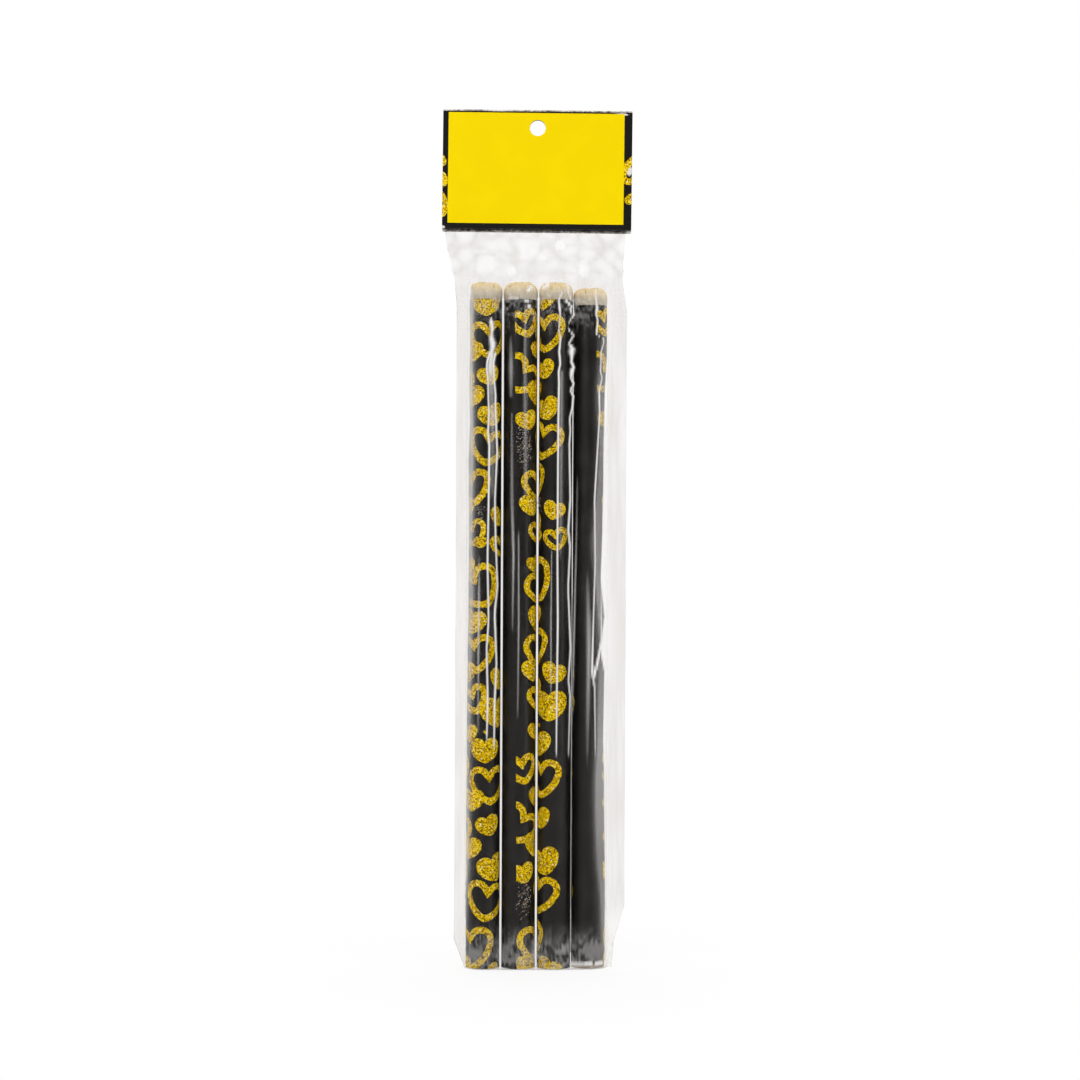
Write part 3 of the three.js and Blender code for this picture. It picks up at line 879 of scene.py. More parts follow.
def header_card():
    front_hole, rear_hole = hole_places()
    border = rounded_box(-CARD_HIGH[0], CARD_HIGH[0], 0, CARD_RUN, CORNER_CUT)
    flat = filled([border, hole_line(front_hole), hole_line(rear_hole)])
    for step in range(FOLD_BANDS + 1):
        cut(flat, (0, FRONT_RUN + FOLD_RUN * step / FOLD_BANDS), (0, 1))
    cut_across(flat, CARD_BAND_ACROSS)
    cut_across(flat, CARD_BAND_ALONG, axis=1)
    for whitening in PALE_PATCHES:
        cut_finely(flat, whitening)
    points, faces = thicken(flat, on_card, 0, CARD_BOARD)
    flat.free()
    wear_and_painted_highlight = [paleness_share(p) for p in points]
    piece = mesh_piece("folded_header_card", points, faces, HEADER_BOARD, 40, {"wear_and_painted_highlight": wear_and_painted_highlight})
    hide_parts("header_card")
    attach(piece, "bag_and_card")


def yellow_panel():
    front_hole, _ = hole_places()
    border = rounded_box(PANEL_LEFT, PANEL_RIGHT, PANEL_LOW, PANEL_HIGH, PANEL_CORNER)
    flat = filled([border, hole_line(front_hole, PEG_HOLE_RADIUS + PANEL_HOLE_EASE)])
    cut_across(flat, PANEL_BAND)
    points, faces = thicken(flat, on_card, CARD_BOARD - PANEL_SINK, CARD_BOARD + PANEL_RISE)
    flat.free()
    piece = mesh_piece("yellow_panel", points, faces, YELLOW_INK)
    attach(piece, "bag_and_card")


# Hearts on the card's black, where its yellow panel leaves them bare, and on the whole rear panel
EDGE_HEARTS = rows(
    Heart,
    (-44.4, 30.4, 9), (-44.4, 22.4, 11, 4), (-46.6, 12, 17, 12, RING),
    (43.6, 26.4, 15.5, -6, RING), (42, 13.8, 7, 10),
)
REAR_HEARTS = rows(
    Heart,
    (-30, 70, 17, 14, RING), (-31, 92, 13, -12), (-15, 84, 11, 18), (-17, 101, 15, 8, RING),
    (0, 76, 15, -8, RING), (1, 95, 12, 14), (15, 66, 9, 20), (16, 86, 17, 12, RING), (18, 103, 9, -15),
    (32, 72, 13, -14), (33, 94, 15, 10, RING), (-40, 81, 10, 0), (-13, 64, 8, -10), (41, 83, 8, 8),
    (-36, 106, 10, 5),
)


def card_hearts():
    box = (-CARD_HIGH[0], CARD_HIGH[0], 0, CARD_RUN)
    points, faces = gold_print(EDGE_HEARTS + REAR_HEARTS, 0, box, CARD_INK, CARD_BOARD, on_card)
    piece = mesh_piece("gold_hearts_card", points, faces, GOLD_INK)
    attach(piece, "bag_and_card")


# Film bag: at each height the film's path round a row of upright cylinders
BAG_LOW, BAG_HIGH = millimetres("clear_bag")
FILM_WALL = 0.06
FILM_SETBACK = 0.07
ROW_RADIUS = 8.06
CREASE_ROUND = 0.3
LEFT_MARGIN = 5.2
RIGHT_MARGIN = 8.7
LEFT_NECK_DRAW = -0.9
RIGHT_NECK_DRAW = 1.9
NECK_SWELL = 1.2
NECK_RISE = 2.0
LEFT_TAPER_POWER = 0.8
LEFT_FOOT_DRAW = 4.6
RIGHT_FOOT_DRAW = 5.8
RIGHT_CORNER_DRAW = 4.5
LEFT_CORNER_RISE = 12.0
RIGHT_CORNER_RISE = 27.0
SHOULDER_DROP = 14.0
TUBE_END = 300.1
TAPER_END = CARD_LOW[2]
SLIDE_CLEAR = 8.4
MOUTH_HALF = 39.7
MOUTH_OFFSET = (BAG_LOW[0] + MOUTH_HALF, CARD_MIDDLE)
MOUTH_RADIUS = 0.3
FRONT_POINTS = 250
BACK_POINTS = 64

AXES = [tube_axis(tag) for tag in FOUNTAINS]
LEFT_CREASE = AXES[0][0] - WRAP_RADIUS - LEFT_MARGIN
RIGHT_CREASE = AXES[3][0] + WRAP_RADIUS + RIGHT_MARGIN
NECK_HEIGHT = TUBE_END + NECK_RISE


def row_section(left_draw, right_draw, swell):
    """The circles that the film runs round: both creases and the outer tubes."""
    radius = ROW_RADIUS + swell
    left = (LEFT_CREASE + left_draw + CREASE_ROUND, AXES[0][1], CREASE_ROUND)
    right = (RIGHT_CREASE - right_draw - CREASE_ROUND, (AXES[0][1] + AXES[3][1]) / 2, CREASE_ROUND)
    row = [(AXES[i][0], AXES[i][1], radius) for i in (0, 2, 3)]
    return [left, *row, right]


def mouth_section():
    """As many circles as the row has, in a line along the card."""
    reach = MOUTH_HALF - MOUTH_RADIUS
    return [(MOUTH_OFFSET[0] + k * reach, MOUTH_OFFSET[1], MOUTH_RADIUS) for k in (-1, -0.6, 0.3, 0.6, 1)]


def mixed_section(a, b, share, left_share=None):
    """A section between two others; its left crease may run ahead of the rest."""
    shares = [share if left_share is None else left_share] + [share] * (len(a) - 1)
    return [tuple(p + (q - p) * k for p, q in zip(one, two)) for one, two, k in zip(a, b, shares)]


def section_at(z):
    """The bag's section at this height, from its drawn-in foot to its flat mouth in the card."""
    foot = row_section(LEFT_FOOT_DRAW, RIGHT_FOOT_DRAW, 0)
    corner = row_section(0, RIGHT_CORNER_DRAW, 0)
    body = row_section(0, 0, 0)
    neck = row_section(LEFT_NECK_DRAW, RIGHT_NECK_DRAW, NECK_SWELL)
    if z < LEFT_CORNER_RISE:
        return mixed_section(foot, corner, z / LEFT_CORNER_RISE)
    if z < RIGHT_CORNER_RISE:
        return mixed_section(corner, body, (z - LEFT_CORNER_RISE) / (RIGHT_CORNER_RISE - LEFT_CORNER_RISE))
    if z < TUBE_END - SHOULDER_DROP:
        return body
    if z < NECK_HEIGHT:
        return mixed_section(body, neck, smooth_step(z, TUBE_END - SHOULDER_DROP, NECK_HEIGHT))
    if z > TAPER_END:
        return mouth_section()
    raised = (SLIDE_CLEAR - NECK_RISE) / (TAPER_END - NECK_HEIGHT)
    power = math.log(NECK_SWELL / (ROW_RADIUS + NECK_SWELL - MOUTH_RADIUS)) / math.log(raised)
    share = (z - NECK_HEIGHT) / (TAPER_END - NECK_HEIGHT)
    return mixed_section(neck, mouth_section(), share**power, share**LEFT_TAPER_POWER)


def support(section, way):
    """The hull's outermost point in this direction."""
    best = max(section, key=lambda c: c[0] * way.x + c[1] * way.y + c[2])
    return Vector((best[0] + best[2] * way.x, best[1] + best[2] * way.y))


def even_steps(line, count):
    """Count points at equal steps along a line, without its last point."""
    runs = [0.0]
    for a, b in zip(line, line[1:]):
        runs.append(runs[-1] + (b - a).length)
    points = []
    k = 0
    for i in range(count):
        goal = runs[-1] * i / count
        while runs[k + 1] < goal:
            k += 1
        span = runs[k + 1] - runs[k] or 1
        points.append(line[k].lerp(line[k + 1], (goal - runs[k]) / span))
    return points


def film_ring(section):
    """Points round the film: the front from the left crease to the right one, then the back."""
    halves = []
    for start, count in ((180, FRONT_POINTS), (0, BACK_POINTS)):
        line = []
        for half_degree in range(0, 361):
            angle = math.radians(start + half_degree / 2)
            line.append(support(section, Vector((math.cos(angle), math.sin(angle)))))
        halves += even_steps(line, count)
    return halves


# Creases in the front film, from top to bottom: x and height of each bend, half width and whiteness, a
# painted highlight that is partly stress whitening
Bend = namedtuple("Bend", "x z half_width white")
FRONT_CREASES_AND_HIGHLIGHTS = (
    # Over the first tube: one broad fold that parts into two lines
    rows(
        Bend,
        (-19.8, 283, 0.3, 0.9), (-19.7, 281.8, 0.75, 1), (-19.3, 279, 0.6, 0.9),
        (-19.5, 276.6, 0.5, 0.55), (-19.6, 274.5, 0.85, 1), (-19, 272.2, 1.05, 1),
        (-19.2, 269.6, 0.8, 0.9), (-20.4, 267.8, 0.4, 0.9), (-21.3, 265, 0.34, 1),
        (-21.6, 261.5, 0.32, 1), (-21, 256.3, 0.28, 0.95), (-20.9, 251, 0.28, 0.9),
        (-20.5, 241.3, 0.34, 0.9), (-20.9, 233.5, 0.34, 1), (-20.3, 228, 0.36, 1),
        (-20.5, 204, 0.32, 1), (-20.9, 178, 0.3, 0.95), (-20.3, 152, 0.28, 0.95),
        (-21.1, 139.6, 0.3, 0.9), (-20.5, 117, 0.32, 0.95), (-20.9, 100, 0.26, 0.7),
    ),
    rows(
        Bend,
        (-17.9, 268, 0.3, 0.9), (-18.7, 264, 0.36, 1), (-18.4, 257, 0.28, 0.9),
        (-17.7, 250, 0.3, 1), (-17.8, 245.7, 0.3, 0.9), (-17.4, 237, 0.32, 1),
        (-16.9, 225.6, 0.3, 1), (-17.8, 204, 0.28, 0.9), (-17.4, 187, 0.28, 0.9),
        (-16.5, 167, 0.26, 0.8), (-17.7, 155, 0.34, 1), (-16.8, 134, 0.28, 0.85),
        (-17.5, 117, 0.34, 1), (-17.7, 98, 0.26, 0.7),
    ),
    # Painted highlight on the slack film between those two lines
    rows(
        Bend,
        (-19.6, 268, 1, 0.75), (-20, 262, 1.2, 0.7), (-19.8, 257, 1.2, 0.25),
        (-19.4, 247, 1.1, 0.12), (-19, 241, 1, 0.3), (-19, 234, 0.9, 0.12),
        (-18.9, 205, 0.8, 0.06),
    ),
    rows(
        Bend,
        (-24.6, 180, 0.4, 0.06), (-24.6, 152, 0.5, 0.36), (-24.7, 134, 0.45, 0.2),
        (-24.7, 104, 0.4, 0.08),
    ),
    # Dim sheens over the second tube
    rows(Bend, (-11.2, 276, 0.5, 0.03), (-11, 262, 0.8, 0.2), (-11, 249, 0.5, 0.08)),
    rows(
        Bend,
        (-10.6, 242, 0.3, 0.1), (-10.4, 205, 0.6, 0.14), (-9.6, 180, 0.4, 0.3),
        (-9.9, 150, 0.3, 0.1),
    ),
    rows(Bend, (-5, 288, 0.4, 0.14), (-4.9, 250, 0.7, 0.12), (-4.4, 205, 0.6, 0.1)),
    rows(Bend, (-7.4, 190, 0.25, 0.2), (-7.2, 150, 0.3, 0.26), (-7.5, 110, 0.25, 0.12)),
    # Over the third tube
    rows(
        Bend,
        (11.2, 295, 0.25, 0.8), (9.6, 291.4, 0.3, 0.9), (10, 287.6, 0.42, 1),
        (10.3, 284.8, 0.25, 0.7), (9.6, 278.7, 0.2, 0.65), (10.5, 275.1, 0.28, 0.85),
        (9.9, 269, 0.38, 1), (10.4, 263.7, 0.32, 1), (9.7, 260.2, 0.32, 1),
        (9.9, 255, 0.34, 1), (9.7, 242, 0.34, 1), (9.6, 224, 0.32, 1),
        (9.5, 180, 0.3, 0.95), (9.8, 152, 0.32, 1), (9.5, 120, 0.3, 0.95), (9.4, 94, 0.26, 0.6),
    ),
    rows(Bend, (7, 184, 0.22, 0.15), (6.8, 150, 0.24, 0.3), (7, 120, 0.22, 0.2)),
    rows(Bend, (11, 260, 0.55, 0.16), (10.9, 190, 0.5, 0.12), (10.8, 178, 0.4, 0.03)),
    # The wavy line between the third and fourth tubes
    rows(
        Bend,
        (13.4, 298.4, 0.5, 0.8), (13.8, 294.4, 0.28, 0.7), (14.9, 292.2, 0.25, 0.8),
        (12.8, 291.2, 0.5, 1), (15.3, 288.5, 0.38, 0.95), (14.4, 286.8, 0.3, 0.9),
        (16.3, 285.2, 0.25, 0.8), (14.2, 282, 0.24, 0.75), (14, 281.2, 0.2, 0),
        (13.8, 279.6, 0.2, 0), (13.8, 278.8, 0.28, 0.8), (16.2, 276.3, 0.3, 0.9),
        (14.2, 272.6, 0.26, 0.9), (15.6, 270.6, 0.9, 1), (15.3, 269, 1, 1),
        (15.4, 266.4, 0.45, 1), (15.2, 264.4, 0.4, 1), (16.2, 262.4, 0.45, 1),
        (15.4, 260.8, 0.7, 1), (15, 257.8, 0.3, 1), (16.4, 254.8, 0.32, 0.95),
        (14.8, 252.4, 0.3, 0.95), (16.1, 249.6, 0.32, 0.95), (15.7, 244.5, 0.3, 0.9),
        (14.6, 240, 0.28, 0.9), (14.9, 234.8, 0.26, 0.85), (14.5, 228.7, 0.28, 0.9),
        (15, 204.5, 0.3, 0.9), (14.2, 191.3, 0.34, 0.95), (15, 184, 0.28, 0.85),
        (14.2, 166, 0.28, 0.85), (15.4, 140, 0.28, 0.8), (14.5, 125.6, 0.28, 0.75),
        (15.3, 120, 0.26, 0.7), (14.7, 94, 0.24, 0.4),
    ),
    rows(
        Bend,
        (18.1, 215, 0.28, 0.05), (17.8, 190, 0.3, 0.12), (17.4, 172, 0.32, 0.2),
        (16.9, 145, 0.3, 0.26), (16.4, 119, 0.3, 0.15), (16.1, 108, 0.3, 0.05),
    ),
    # Over the fourth tube
    rows(
        Bend,
        (25.5, 297, 0.25, 0.5), (26.1, 290, 0.36, 0.9), (26.4, 288, 0.5, 1),
        (25.8, 286, 0.32, 0.85), (26.7, 282.6, 0.28, 0.85), (26.1, 277.3, 0.3, 0.9),
        (27.4, 275.9, 0.25, 0.5), (29.1, 275, 0.3, 0.7), (29.4, 273.4, 0.28, 0.6),
        (28.1, 269, 0.25, 0.7), (28.1, 263.7, 0.26, 0.8), (27.9, 260.7, 0.26, 0.8),
        (28.7, 258, 0.28, 0.75), (27.5, 252.6, 0.28, 0.85), (27.5, 249.7, 0.36, 1),
        (27.7, 242.7, 0.28, 0.9), (27.1, 231.3, 0.28, 0.8), (25.6, 204.5, 0.28, 0.9),
        (26, 178, 0.26, 0.8), (25.3, 152, 0.26, 0.8), (24.8, 129, 0.4, 1),
        (26, 124, 0.28, 0.7), (26.4, 94, 0.22, 0.4),
    ),
    rows(
        Bend,
        (28.6, 165, 0.3, 0.4), (28.9, 144, 0.34, 0.9), (27.4, 134, 0.45, 1),
        (25.4, 127.5, 0.6, 1),
    ),
    rows(
        Bend,
        (22.6, 172, 0.5, 0.04), (23.3, 152, 1, 0.18), (23.4, 139, 0.8, 0.27),
        (23.1, 112, 0.8, 0.12), (22.9, 92, 0.5, 0.04),
    ),
)
BACK_CREASES_AND_HIGHLIGHTS = (
    rows(Bend, (-24, 290, 0.3, 0.3), (-25, 210, 0.3, 0.7), (-24, 70, 0.3, 0.3)),
    rows(Bend, (-7, 285, 0.3, 0.5), (-6, 240, 0.4, 0.8), (-7.2, 120, 0.3, 0.4)),
    rows(Bend, (9, 270, 0.3, 0.3), (8.2, 180, 0.35, 0.7), (9.2, 40, 0.3, 0.2)),
    rows(Bend, (24, 288, 0.4, 0.5), (25, 190, 0.3, 0.7), (24.2, 60, 0.3, 0.3)),
)

# Painted shade along folds that would bend the light away, over the gap between the third and fourth tubes
PAINTED_FOLD_SHADE = (
    rows(
        Bend,
        (16, 286, 0.4, 0.3), (16.05, 283, 0.7, 1), (16.05, 265, 0.7, 1),
        (16.1, 262, 0.4, 0.3),
    ),
    rows(Bend, (16.1, 180, 0.5, 0.2), (16.1, 160, 0.7, 0.78), (16.1, 8, 0.7, 0.8)),
)

# Painted reflection on the slack film round the outer tubes' sides: where its white part ends, and the dim
# band inside that
Slack = namedtuple("Slack", "x z band level")
LEFT_SLACK = rows(
    Slack,
    (-29, 299.4, 0.2, 0), (-28.5, 296, 0.5, 0.2), (-29.1, 290, 1.4, 0.32),
    (-28.8, 272, 0.4, 0.35), (-29.1, 255, 0.9, 0.4), (-28.7, 238, 0.8, 0.38),
    (-29.3, 222, 1.6, 0.33), (-29, 187, 0.9, 0.33), (-29.1, 160, 1.5, 0.26),
    (-29.6, 117, 1.2, 0.22), (-29.7, 82, 0.7, 0.22), (-30, 47, 1, 0.28),
    (-30.3, 25, 0.4, 0.15), (-30.5, 0, 0.3, 0.05),
)
RIGHT_SLACK = rows(
    Slack,
    (31.4, 290, 1, 0.05), (31.3, 281, 2.2, 0.07), (30.9, 268, 2, 0.1), (29.9, 252, 2.7, 0.13),
    (29.5, 229, 1.2, 0.13), (29.4, 212, 1.8, 0.12), (29, 187, 3.8, 0.13),
    (28.4, 169, 1.8, 0.16), (30.2, 154, 2.3, 0.2), (28.4, 139, 0.4, 0.07), (30.2, 130, 1.8, 0.15),
    (30.1, 117, 2.1, 0.16), (29.8, 99, 2, 0.22), (30.3, 82, 3.4, 0.2), (30.5, 64, 3.4, 0.18),
    (30.8, 47, 3, 0.13), (31, 29, 1.4, 0.16), (31.2, 14, 1.4, 0.14), (31.4, 0, 0.8, 0.1),
)

# Ragged patches of the film: painted glints and painted reflections over the tubes, and clear places in the
# head
Glint = namedtuple("Glint", "x z half_width half_height turn white")
GLINTS = rows(
    Glint,
    (-3, 296.3, 1.5, 0.7, 40, 0.9), (4, 297.4, 2.2, 0.55, 38, 0.95),
    (-4.6, 291, 1.6, 0.5, -20, 0.6), (-3.3, 288.6, 0.6, 0.9, 20, 0.8),
    (12.6, 300, 1.3, 1, -30, 0.9), (-10.6, 292, 3, 0.3, 5, 0.3),
    (20, 284.5, 3.2, 0.6, 12, 0.05), (21.4, 281, 2.6, 0.5, -24, 0.05), (18.6, 2.3, 3.2, 0.8, 5, 0.6),
    (24.2, 1.9, 2.8, 0.7, -8, 0.95), (28.4, 2.4, 1.8, 0.8, 12, 0.9), (12.4, 9.2, 3.4, 1.9, 38, 0.17),
    (26, 8, 4.6, 4.4, 10, 0.13), (-12, 7.5, 1.8, 5, 0, 0.1), (-25.4, 7, 3.4, 3.4, 20, 0.13),
    (-5.6, 4.4, 3, 2.4, 0, 0.16), (20.6, 284.2, 3, 1, 14, 0.06),
)
CLEAR_PATCHES = rows(
    Glint,
    (-14.5, 304.5, 5.5, 3.4, 0, 1), (-24, 313, 4, 1.2, 5, 0.9), (20.8, 304.5, 2.6, 4.2, 0, 1),
    (10, 315.5, 2, 3, 15, 0.9), (0, 311, 3.5, 2, -20, 0.7),
)


# How far creases stand out, how the painted reflection on slack film fades, and where the film's marks change
# on its way up
CREASE_RISE = 0.28
SLACK_WHITE = 0.95
SLACK_EDGE = (-0.3, 0.25)
SLACK_FADE = 0.9
SLACK_REACH = 0.9
FOOT_REFLECTING = (3, 22)
FOOT_FOLDED = (4, 20)
SHOULDER = 290
SHOULDER_HALF = 9
HEAD = (296, 306)
MOUTH_FLAT = 6
CLEAR_CORNER = (31, 33)
CLEAR_CORNER_TOP = (18, 30)
EVEN_FOOT_REFLECTION = 0.01
EVEN_HAZE = 0.3
HAZE_LIMIT = 0.6
BACK_SEED = 40

# Sharp-crested noise in the film: its strength, its width and height in millimetres, and its seed
Crumple = namedtuple("Crumple", "strength width height seed")
BODY_FOLDS = Crumple(0.14, 6, 45, 1)
SHOULDER_FOLDS = Crumple(0.2, 6, 7, 3)
HEAD_FOLDS = Crumple(0.5, 9, 9, 3)
FOOT_FOLDS = Crumple(0.35, 5, 6, 6)
# A painted sheen round the shoulder and painted reflections in the foot
SHOULDER_SHEEN = Crumple(0.14, 3, 3, 8)
FOOT_REFLECTIONS = (Crumple(0.14, 5, 4, 12), Crumple(0.13, 1.8, 2.4, 13))
CLOUDS = Crumple(0.25, 6, 30, 21)
STREAKS = Crumple(0.12, 3, 30, 22)
HEAD_HAZE = Crumple(0.4, 9, 8, 23)


def ridged(x, z, crumple, side=0):
    """Sharp-crested noise between 0 and 1, from its own seed on each side of the bag."""
    value = noise.noise(Vector((x / crumple.width, z / crumple.height, side + crumple.seed)))
    return (1 - min(1.0, abs(value) * 2.4)) ** 2


def crease_at(bends, z):
    """A crease's row of values at this height, between its bends, or None beyond its ends."""
    if not bends[-1].z <= z <= bends[0].z:
        return None
    for upper, lower in zip(bends, bends[1:]):
        if z >= lower.z:
            share = (upper.z - z) / max(upper.z - lower.z, 0.01)
            return [a + (b - a) * share for a, b in zip(upper, lower)]
    return None


def creases_at(creases, z):
    return [c for c in (crease_at(bends, z) for bends in creases) if c]


def slack_white(x, edge, way, tube_side):
    """How white slack film is painted round a tube's side, as a painted reflection, on the side of the tube
    that way points away from.
    """
    place, _, band, level = edge
    inside = (x - place) * way
    outside = (tube_side - x) * way
    full = SLACK_WHITE * (1 - smooth_step(inside, *SLACK_EDGE))
    dim = level * min(1.0, math.exp((band - inside) / SLACK_FADE))
    return max(full, dim) * (1 - smooth_step(outside, 0, SLACK_REACH))


def patch_share(patch, x, z):
    """How far a place lies inside a ragged oval patch, from 0 to 1."""
    across, up = turned(x - patch.x, z - patch.z, -math.radians(patch.turn))
    reach = (across / patch.half_width) ** 2 + (up / patch.half_height) ** 2
    if reach > 4:
        return 0.0
    ragged = 1.0 + 1.1 * noise.noise(Vector((x * 0.45, z * 0.45, patch.x)))
    return 1 - smooth_step(reach, 0.7 * ragged, 1.05 * ragged)


Passing = namedtuple("Passing", "creases dark left right")


def passing(z, front):
    """The creases with their painted highlights, the lines of painted fold shade and the slack edges at this
    height.
    """
    if not front:
        return Passing(creases_at(BACK_CREASES_AND_HIGHLIGHTS, z), [], None, None)
    return Passing(
        creases_at(FRONT_CREASES_AND_HIGHLIGHTS, z),
        creases_at(PAINTED_FOLD_SHADE, z),
        crease_at(LEFT_SLACK, z),
        crease_at(RIGHT_SLACK, z),
    )


def film_haze_and_fold_shade(x, z, front, dark):
    """How hazy the film is at a place: thin streaks low down, soft folds and clear patches in the head, and
    painted shade along a few folds.
    """
    side = 0 if front else BACK_SEED
    head = smooth_step(z, *HEAD)
    cloud = noise.noise(Vector((x / CLOUDS.width, z / CLOUDS.height, side + CLOUDS.seed)))
    haze_and_shade = EVEN_HAZE + CLOUDS.strength * cloud
    haze_and_shade += STREAKS.strength * (1 - head) * ridged(x, z, STREAKS, side)
    haze_and_shade *= 1 - 0.6 * head
    haze_and_shade += HEAD_HAZE.strength * head * ridged(x, z, HEAD_HAZE, side)
    haze_and_shade = min(haze_and_shade, HAZE_LIMIT)
    if not front:
        return haze_and_shade
    for patch in CLEAR_PATCHES:
        haze_and_shade *= 1 - patch.white * patch_share(patch, x, z)
    # Painted shade along folds over the gap between the third and fourth tubes
    for place, _, width, strength in dark:
        haze_and_shade = max(haze_and_shade, strength * bell(x - place, width))
    corner = smooth_step(x, *CLEAR_CORNER) * (1 - smooth_step(z, *CLEAR_CORNER_TOP))
    return haze_and_shade * (1 - corner)


def film_white(x, z, front, lines):
    """How white the film is at a place: creased, partly stress whitening and mostly painted highlight,
    painted reflections on slack film and in the foot, painted glints and a painted sheen.
    """
    white = max([strength * bell(x - place, width) for place, _, width, strength in lines.creases] or [0.0])
    if not front:
        return white
    for glint in GLINTS:
        white = max(white, glint.white * patch_share(glint, x, z))
    # Painted reflections in the foot and a painted sheen round the shoulder
    foot_reflection = EVEN_FOOT_REFLECTION + sum(s.strength * ridged(x, z, s) ** 2 for s in FOOT_REFLECTIONS)
    sheen = SHOULDER_SHEEN.strength * ridged(x, z, SHOULDER_SHEEN) ** 2
    foot = 1 - smooth_step(z, *FOOT_REFLECTING)
    white = max(white, foot * foot_reflection, bell(z - SHOULDER, SHOULDER_HALF) * sheen)
    if lines.left:
        white = max(white, slack_white(x, lines.left, 1, AXES[0][0] - WRAP_RADIUS))
    if lines.right:
        white = max(white, slack_white(x, lines.right, -1, AXES[3][0] + WRAP_RADIUS))
    return min(white, 1.0)


def film_rise(x, z, front, creases):
    """How far the film stands out at a place, in millimetres."""
    side = 0 if front else BACK_SEED
    foot = 1 - smooth_step(z, *FOOT_FOLDED)
    head = smooth_step(z, *HEAD)
    shoulder = bell(z - SHOULDER, SHOULDER_HALF)
    rise = 0.0
    for place, _, width, white in creases:
        if abs(x - place) < 3 * width:
            rise = max(rise, CREASE_RISE * min(1.0, white * 1.5) * bell(x - place, width))
    rise += BODY_FOLDS.strength * (1 - 0.8 * head) * ridged(x, z, BODY_FOLDS, side)
    strength = HEAD_FOLDS.strength * head + SHOULDER_FOLDS.strength * shoulder
    rise += strength * ridged(x, z, HEAD_FOLDS if head else SHOULDER_FOLDS, side)
    rise += FOOT_FOLDS.strength * foot * ridged(x, z, FOOT_FOLDS, side)
    return rise * (1 - smooth_step(z, TAPER_END - MOUTH_FLAT, TAPER_END))


def film_heights():
    """The heights of the film's rows: those of its foot, then spans with a bottom, a top and a step."""
    heights = [0.0, 0.4, 1.2, 2.4, 4, 6, 8, 10, 12]
    body_spans = ((12, 27, 2.5), (27, 92, 5.4), (92, 222, 3.4), (222, 299, 1.15))
    head_spans = ((299, 322, 1.5), (322, BAG_HIGH[2], 9))
    for low, high, step in body_spans + head_spans:
        count = round((high - low) / step)
        heights += [low + (high - low) * (i + 1) / count for i in range(count)]
    return heights


def film_row(z):
    """The film's outside and inside at this height, and at each place its crease whitening with painted
    highlights, and its haze with painted fold shade.
    """
    ring = film_ring(section_at(z))
    lines = {front: passing(z, front) for front in (True, False)}
    outside = []
    inside = []
    crease_white_and_painted_highlight = []
    haze_and_painted_shade = []
    for i, point in enumerate(ring):
        along = (ring[(i + 1) % len(ring)] - ring[i - 1]).normalized()
        out = Vector((along.y, -along.x))
        front = i < FRONT_POINTS
        rise = film_rise(point.x, z, front, lines[front].creases) - FILM_SETBACK
        outside.append((*(point + out * rise), z))
        inside.append((*(point + out * (rise - FILM_WALL)), max(z, FILM_WALL)))
        crease_white_and_painted_highlight.append(film_white(point.x, z, front, lines[front]))
        haze_and_painted_shade.append(film_haze_and_fold_shade(point.x, z, front, lines[front].dark))
    return outside, inside, crease_white_and_painted_highlight, haze_and_painted_shade


def film_bag():
    outer, inner, crease_white_and_painted_highlight, haze_and_painted_shade = zip(*[film_row(z) for z in film_heights()])
    points, faces = loft([*outer, *inner[::-1]])
    marks = {}
    for label, shades in (("crease_white_and_painted_highlight", crease_white_and_painted_highlight), ("haze_and_painted_shade", haze_and_painted_shade)):
        marks[label] = [share for row in shades + shades[::-1] for share in row]
    piece = mesh_piece("creased_film_bag", points, faces, FILM, 70, marks)
    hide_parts("clear_bag")
    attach(piece, "bag_and_card")


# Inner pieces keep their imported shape
NODE_FINISHES = {
    "liner_tube": LINER_BOARD,
    "charge_core": CHARGE,
    "base_plug": CLAY,
    "foot_plug": LINER_BOARD,
}


def finish_nodes():
    for stem, finish in NODE_FINISHES.items():
        for tag in FOUNTAINS:
            paint(f"{stem}_{tag}", finish)
    for name in ("adhesive_strip_front", "adhesive_strip_back"):
        paint(name, ADHESIVE)


def paint(name, finish):
    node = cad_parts[name]
    mesh = node.data
    if not mesh.materials:
        mesh.materials.append(finish)
    for i in range(len(mesh.materials)):
        mesh.materials[i] = finish


# Stage, lights and camera
AIM = Vector((1.9, 0, 187)) * MM
CAMERA_DISTANCE = 1.0
CAMERA_ELEVATION = -0.2
CAMERA_ROLL = 0.25
CAMERA_LENS = 75.95
FLOOR_HALF = 3.0
FLOOR_DROP = 0.3 * MM


def white_floor(tree):
    # Matt white paper sweep: shown white, with a faint shadow under the pack
    sight = add(tree, "ShaderNodeLightPath").outputs["Is Camera Ray"]
    paper = add(tree, "ShaderNodeBsdfDiffuse", {"Color": linear("#f4f4f4")})
    glow = add(tree, "ShaderNodeEmission", {"Color": linear("#ffffff"), "Strength": 1.0})
    place = add(tree, "ShaderNodeTexCoord").outputs["Object"]
    reach = add(tree, "ShaderNodeVectorMath", {0: place}, operation="LENGTH").outputs["Value"]
    fade = {"Value": reach, "From Min": 0.03, "From Max": 0.16, "To Min": 0.88, "To Max": 1.0}
    share = add(tree, "ShaderNodeMapRange", fade)
    white = add(tree, "ShaderNodeMath", {0: sight, 1: share}, operation="MULTIPLY")
    return add(tree, "ShaderNodeMixShader", {0: white, 1: paper, 2: glow})


def stage_floor():
    mesh = bpy.data.meshes.new("white_floor")
    corners = [(x * FLOOR_HALF, y * FLOOR_HALF, -FLOOR_DROP) for x, y in ((-1, -1), (1, -1), (1, 1), (-1, 1))]
    mesh.from_pydata(corners, [], [(0, 1, 2, 3)])
    mesh.materials.append(material("white_floor_paper", white_floor))
    in_scene("white_floor", mesh)


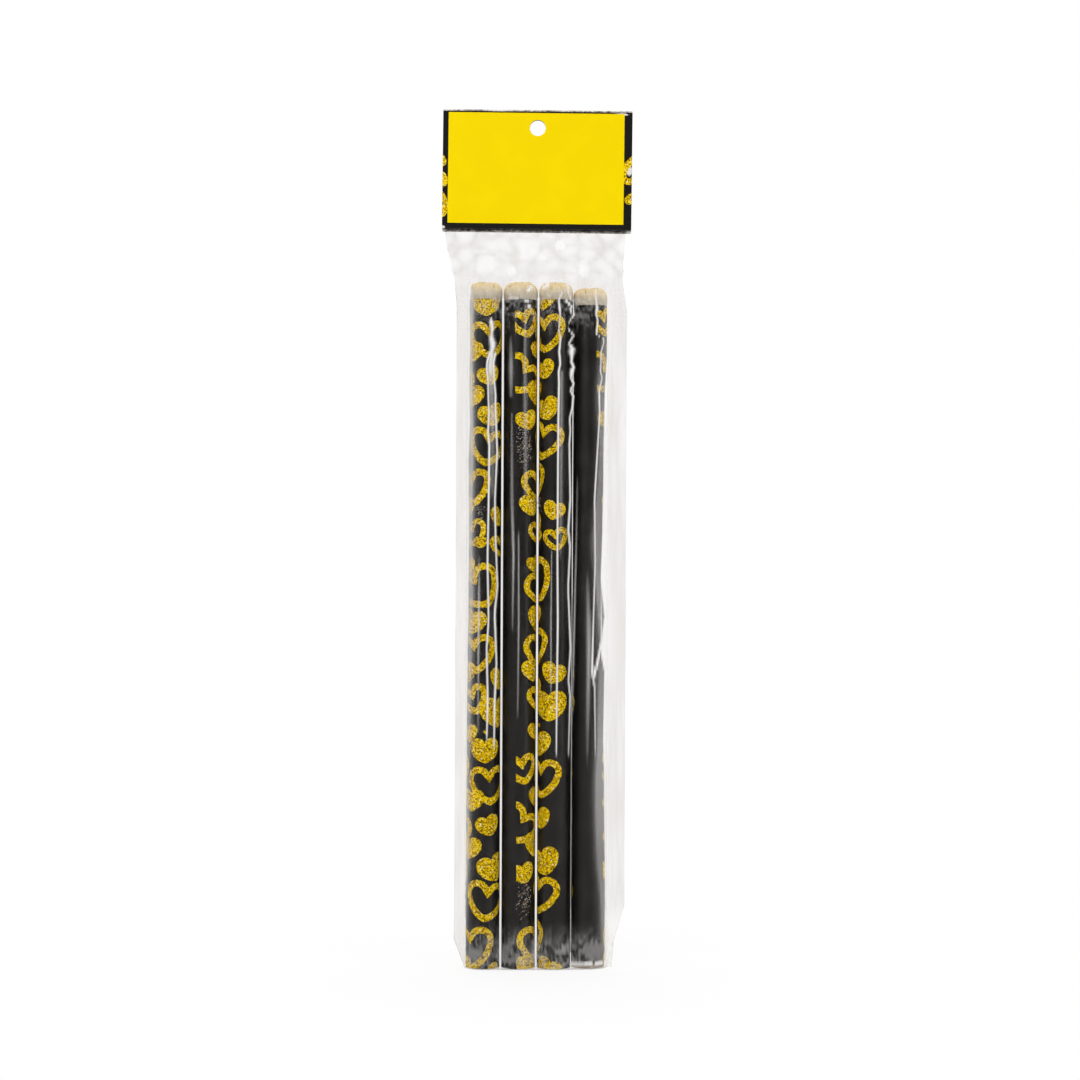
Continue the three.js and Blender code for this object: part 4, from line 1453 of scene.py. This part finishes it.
def soft_light(name, place, width, height, power):
    data = bpy.data.lights.new(name, "AREA")
    data.shape = "RECTANGLE"
    data.size = width
    data.size_y = height
    data.energy = power
    lamp = in_scene(name, data)
    lamp.location = place
    lamp.rotation_mode = "QUATERNION"
    lamp.rotation_quaternion = (AIM - Vector(place)).to_track_quat("-Z", "Y")


def light_stage():
    soft_light("key_softbox", (-0.9, -1.3, 0.95), 0.9, 0.9, 9.5)
    soft_light("fill_softbox", (1.25, -0.9, 0.55), 0.5, 1.2, 6.0)
    soft_light("top_softbox", (0.1, 0.25, 1.5), 1.0, 0.8, 4.0)
    soft_light("rear_softbox", (-0.4, 1.4, 0.8), 1.0, 1.0, 4.0)
    world = bpy.data.worlds.new("white_studio")
    world.use_nodes = True
    tree = world.node_tree
    tree.nodes.clear()
    sight = add(tree, "ShaderNodeLightPath").outputs["Is Camera Ray"]
    way = add(tree, "ShaderNodeTexCoord").outputs["Generated"]
    depth = add(tree, "ShaderNodeSeparateXYZ", {0: way}).outputs["Y"]
    dimmed = {"Value": depth, "From Min": -0.5, "From Max": 0.35, "To Min": 0.3, "To Max": 0.9}
    level = add(tree, "ShaderNodeMapRange", dimmed)
    seen = add(tree, "ShaderNodeBackground", {"Color": linear("#ffffff"), "Strength": 1.0})
    room = add(tree, "ShaderNodeBackground", {"Color": linear("#ffffff"), "Strength": level})
    mixed = add(tree, "ShaderNodeMixShader", {0: sight, 1: room, 2: seen})
    add(tree, "ShaderNodeOutputWorld", {"Surface": mixed})
    bpy.context.scene.world = world


def photo_camera():
    data = bpy.data.cameras.new("photo_camera")
    data.sensor_width = 36
    data.lens = CAMERA_LENS
    data.clip_start = 0.01
    camera = in_scene("photo_camera", data)
    rise = math.radians(CAMERA_ELEVATION)
    away = Vector((0, -math.cos(rise), math.sin(rise)))
    camera.location = AIM + away * CAMERA_DISTANCE
    camera.rotation_mode = "QUATERNION"
    roll = Quaternion((0, 0, 1), math.radians(CAMERA_ROLL))
    camera.rotation_quaternion = (-away).to_track_quat("-Z", "Y") @ roll
    bpy.context.scene.camera = camera


photo_camera()
light_stage()
stage_floor()
specks_tree = scatter_tree()
for tag in FOUNTAINS:
    casing(tag)
    sealing_paper(tag)
    printed_wrap(tag)
    printed_hearts(tag)
    gold_dust(tag, specks_tree)
header_card()
yellow_panel()
card_hearts()
film_bag()
finish_nodes()
bpy.context.scene.view_settings.view_transform = "Standard"
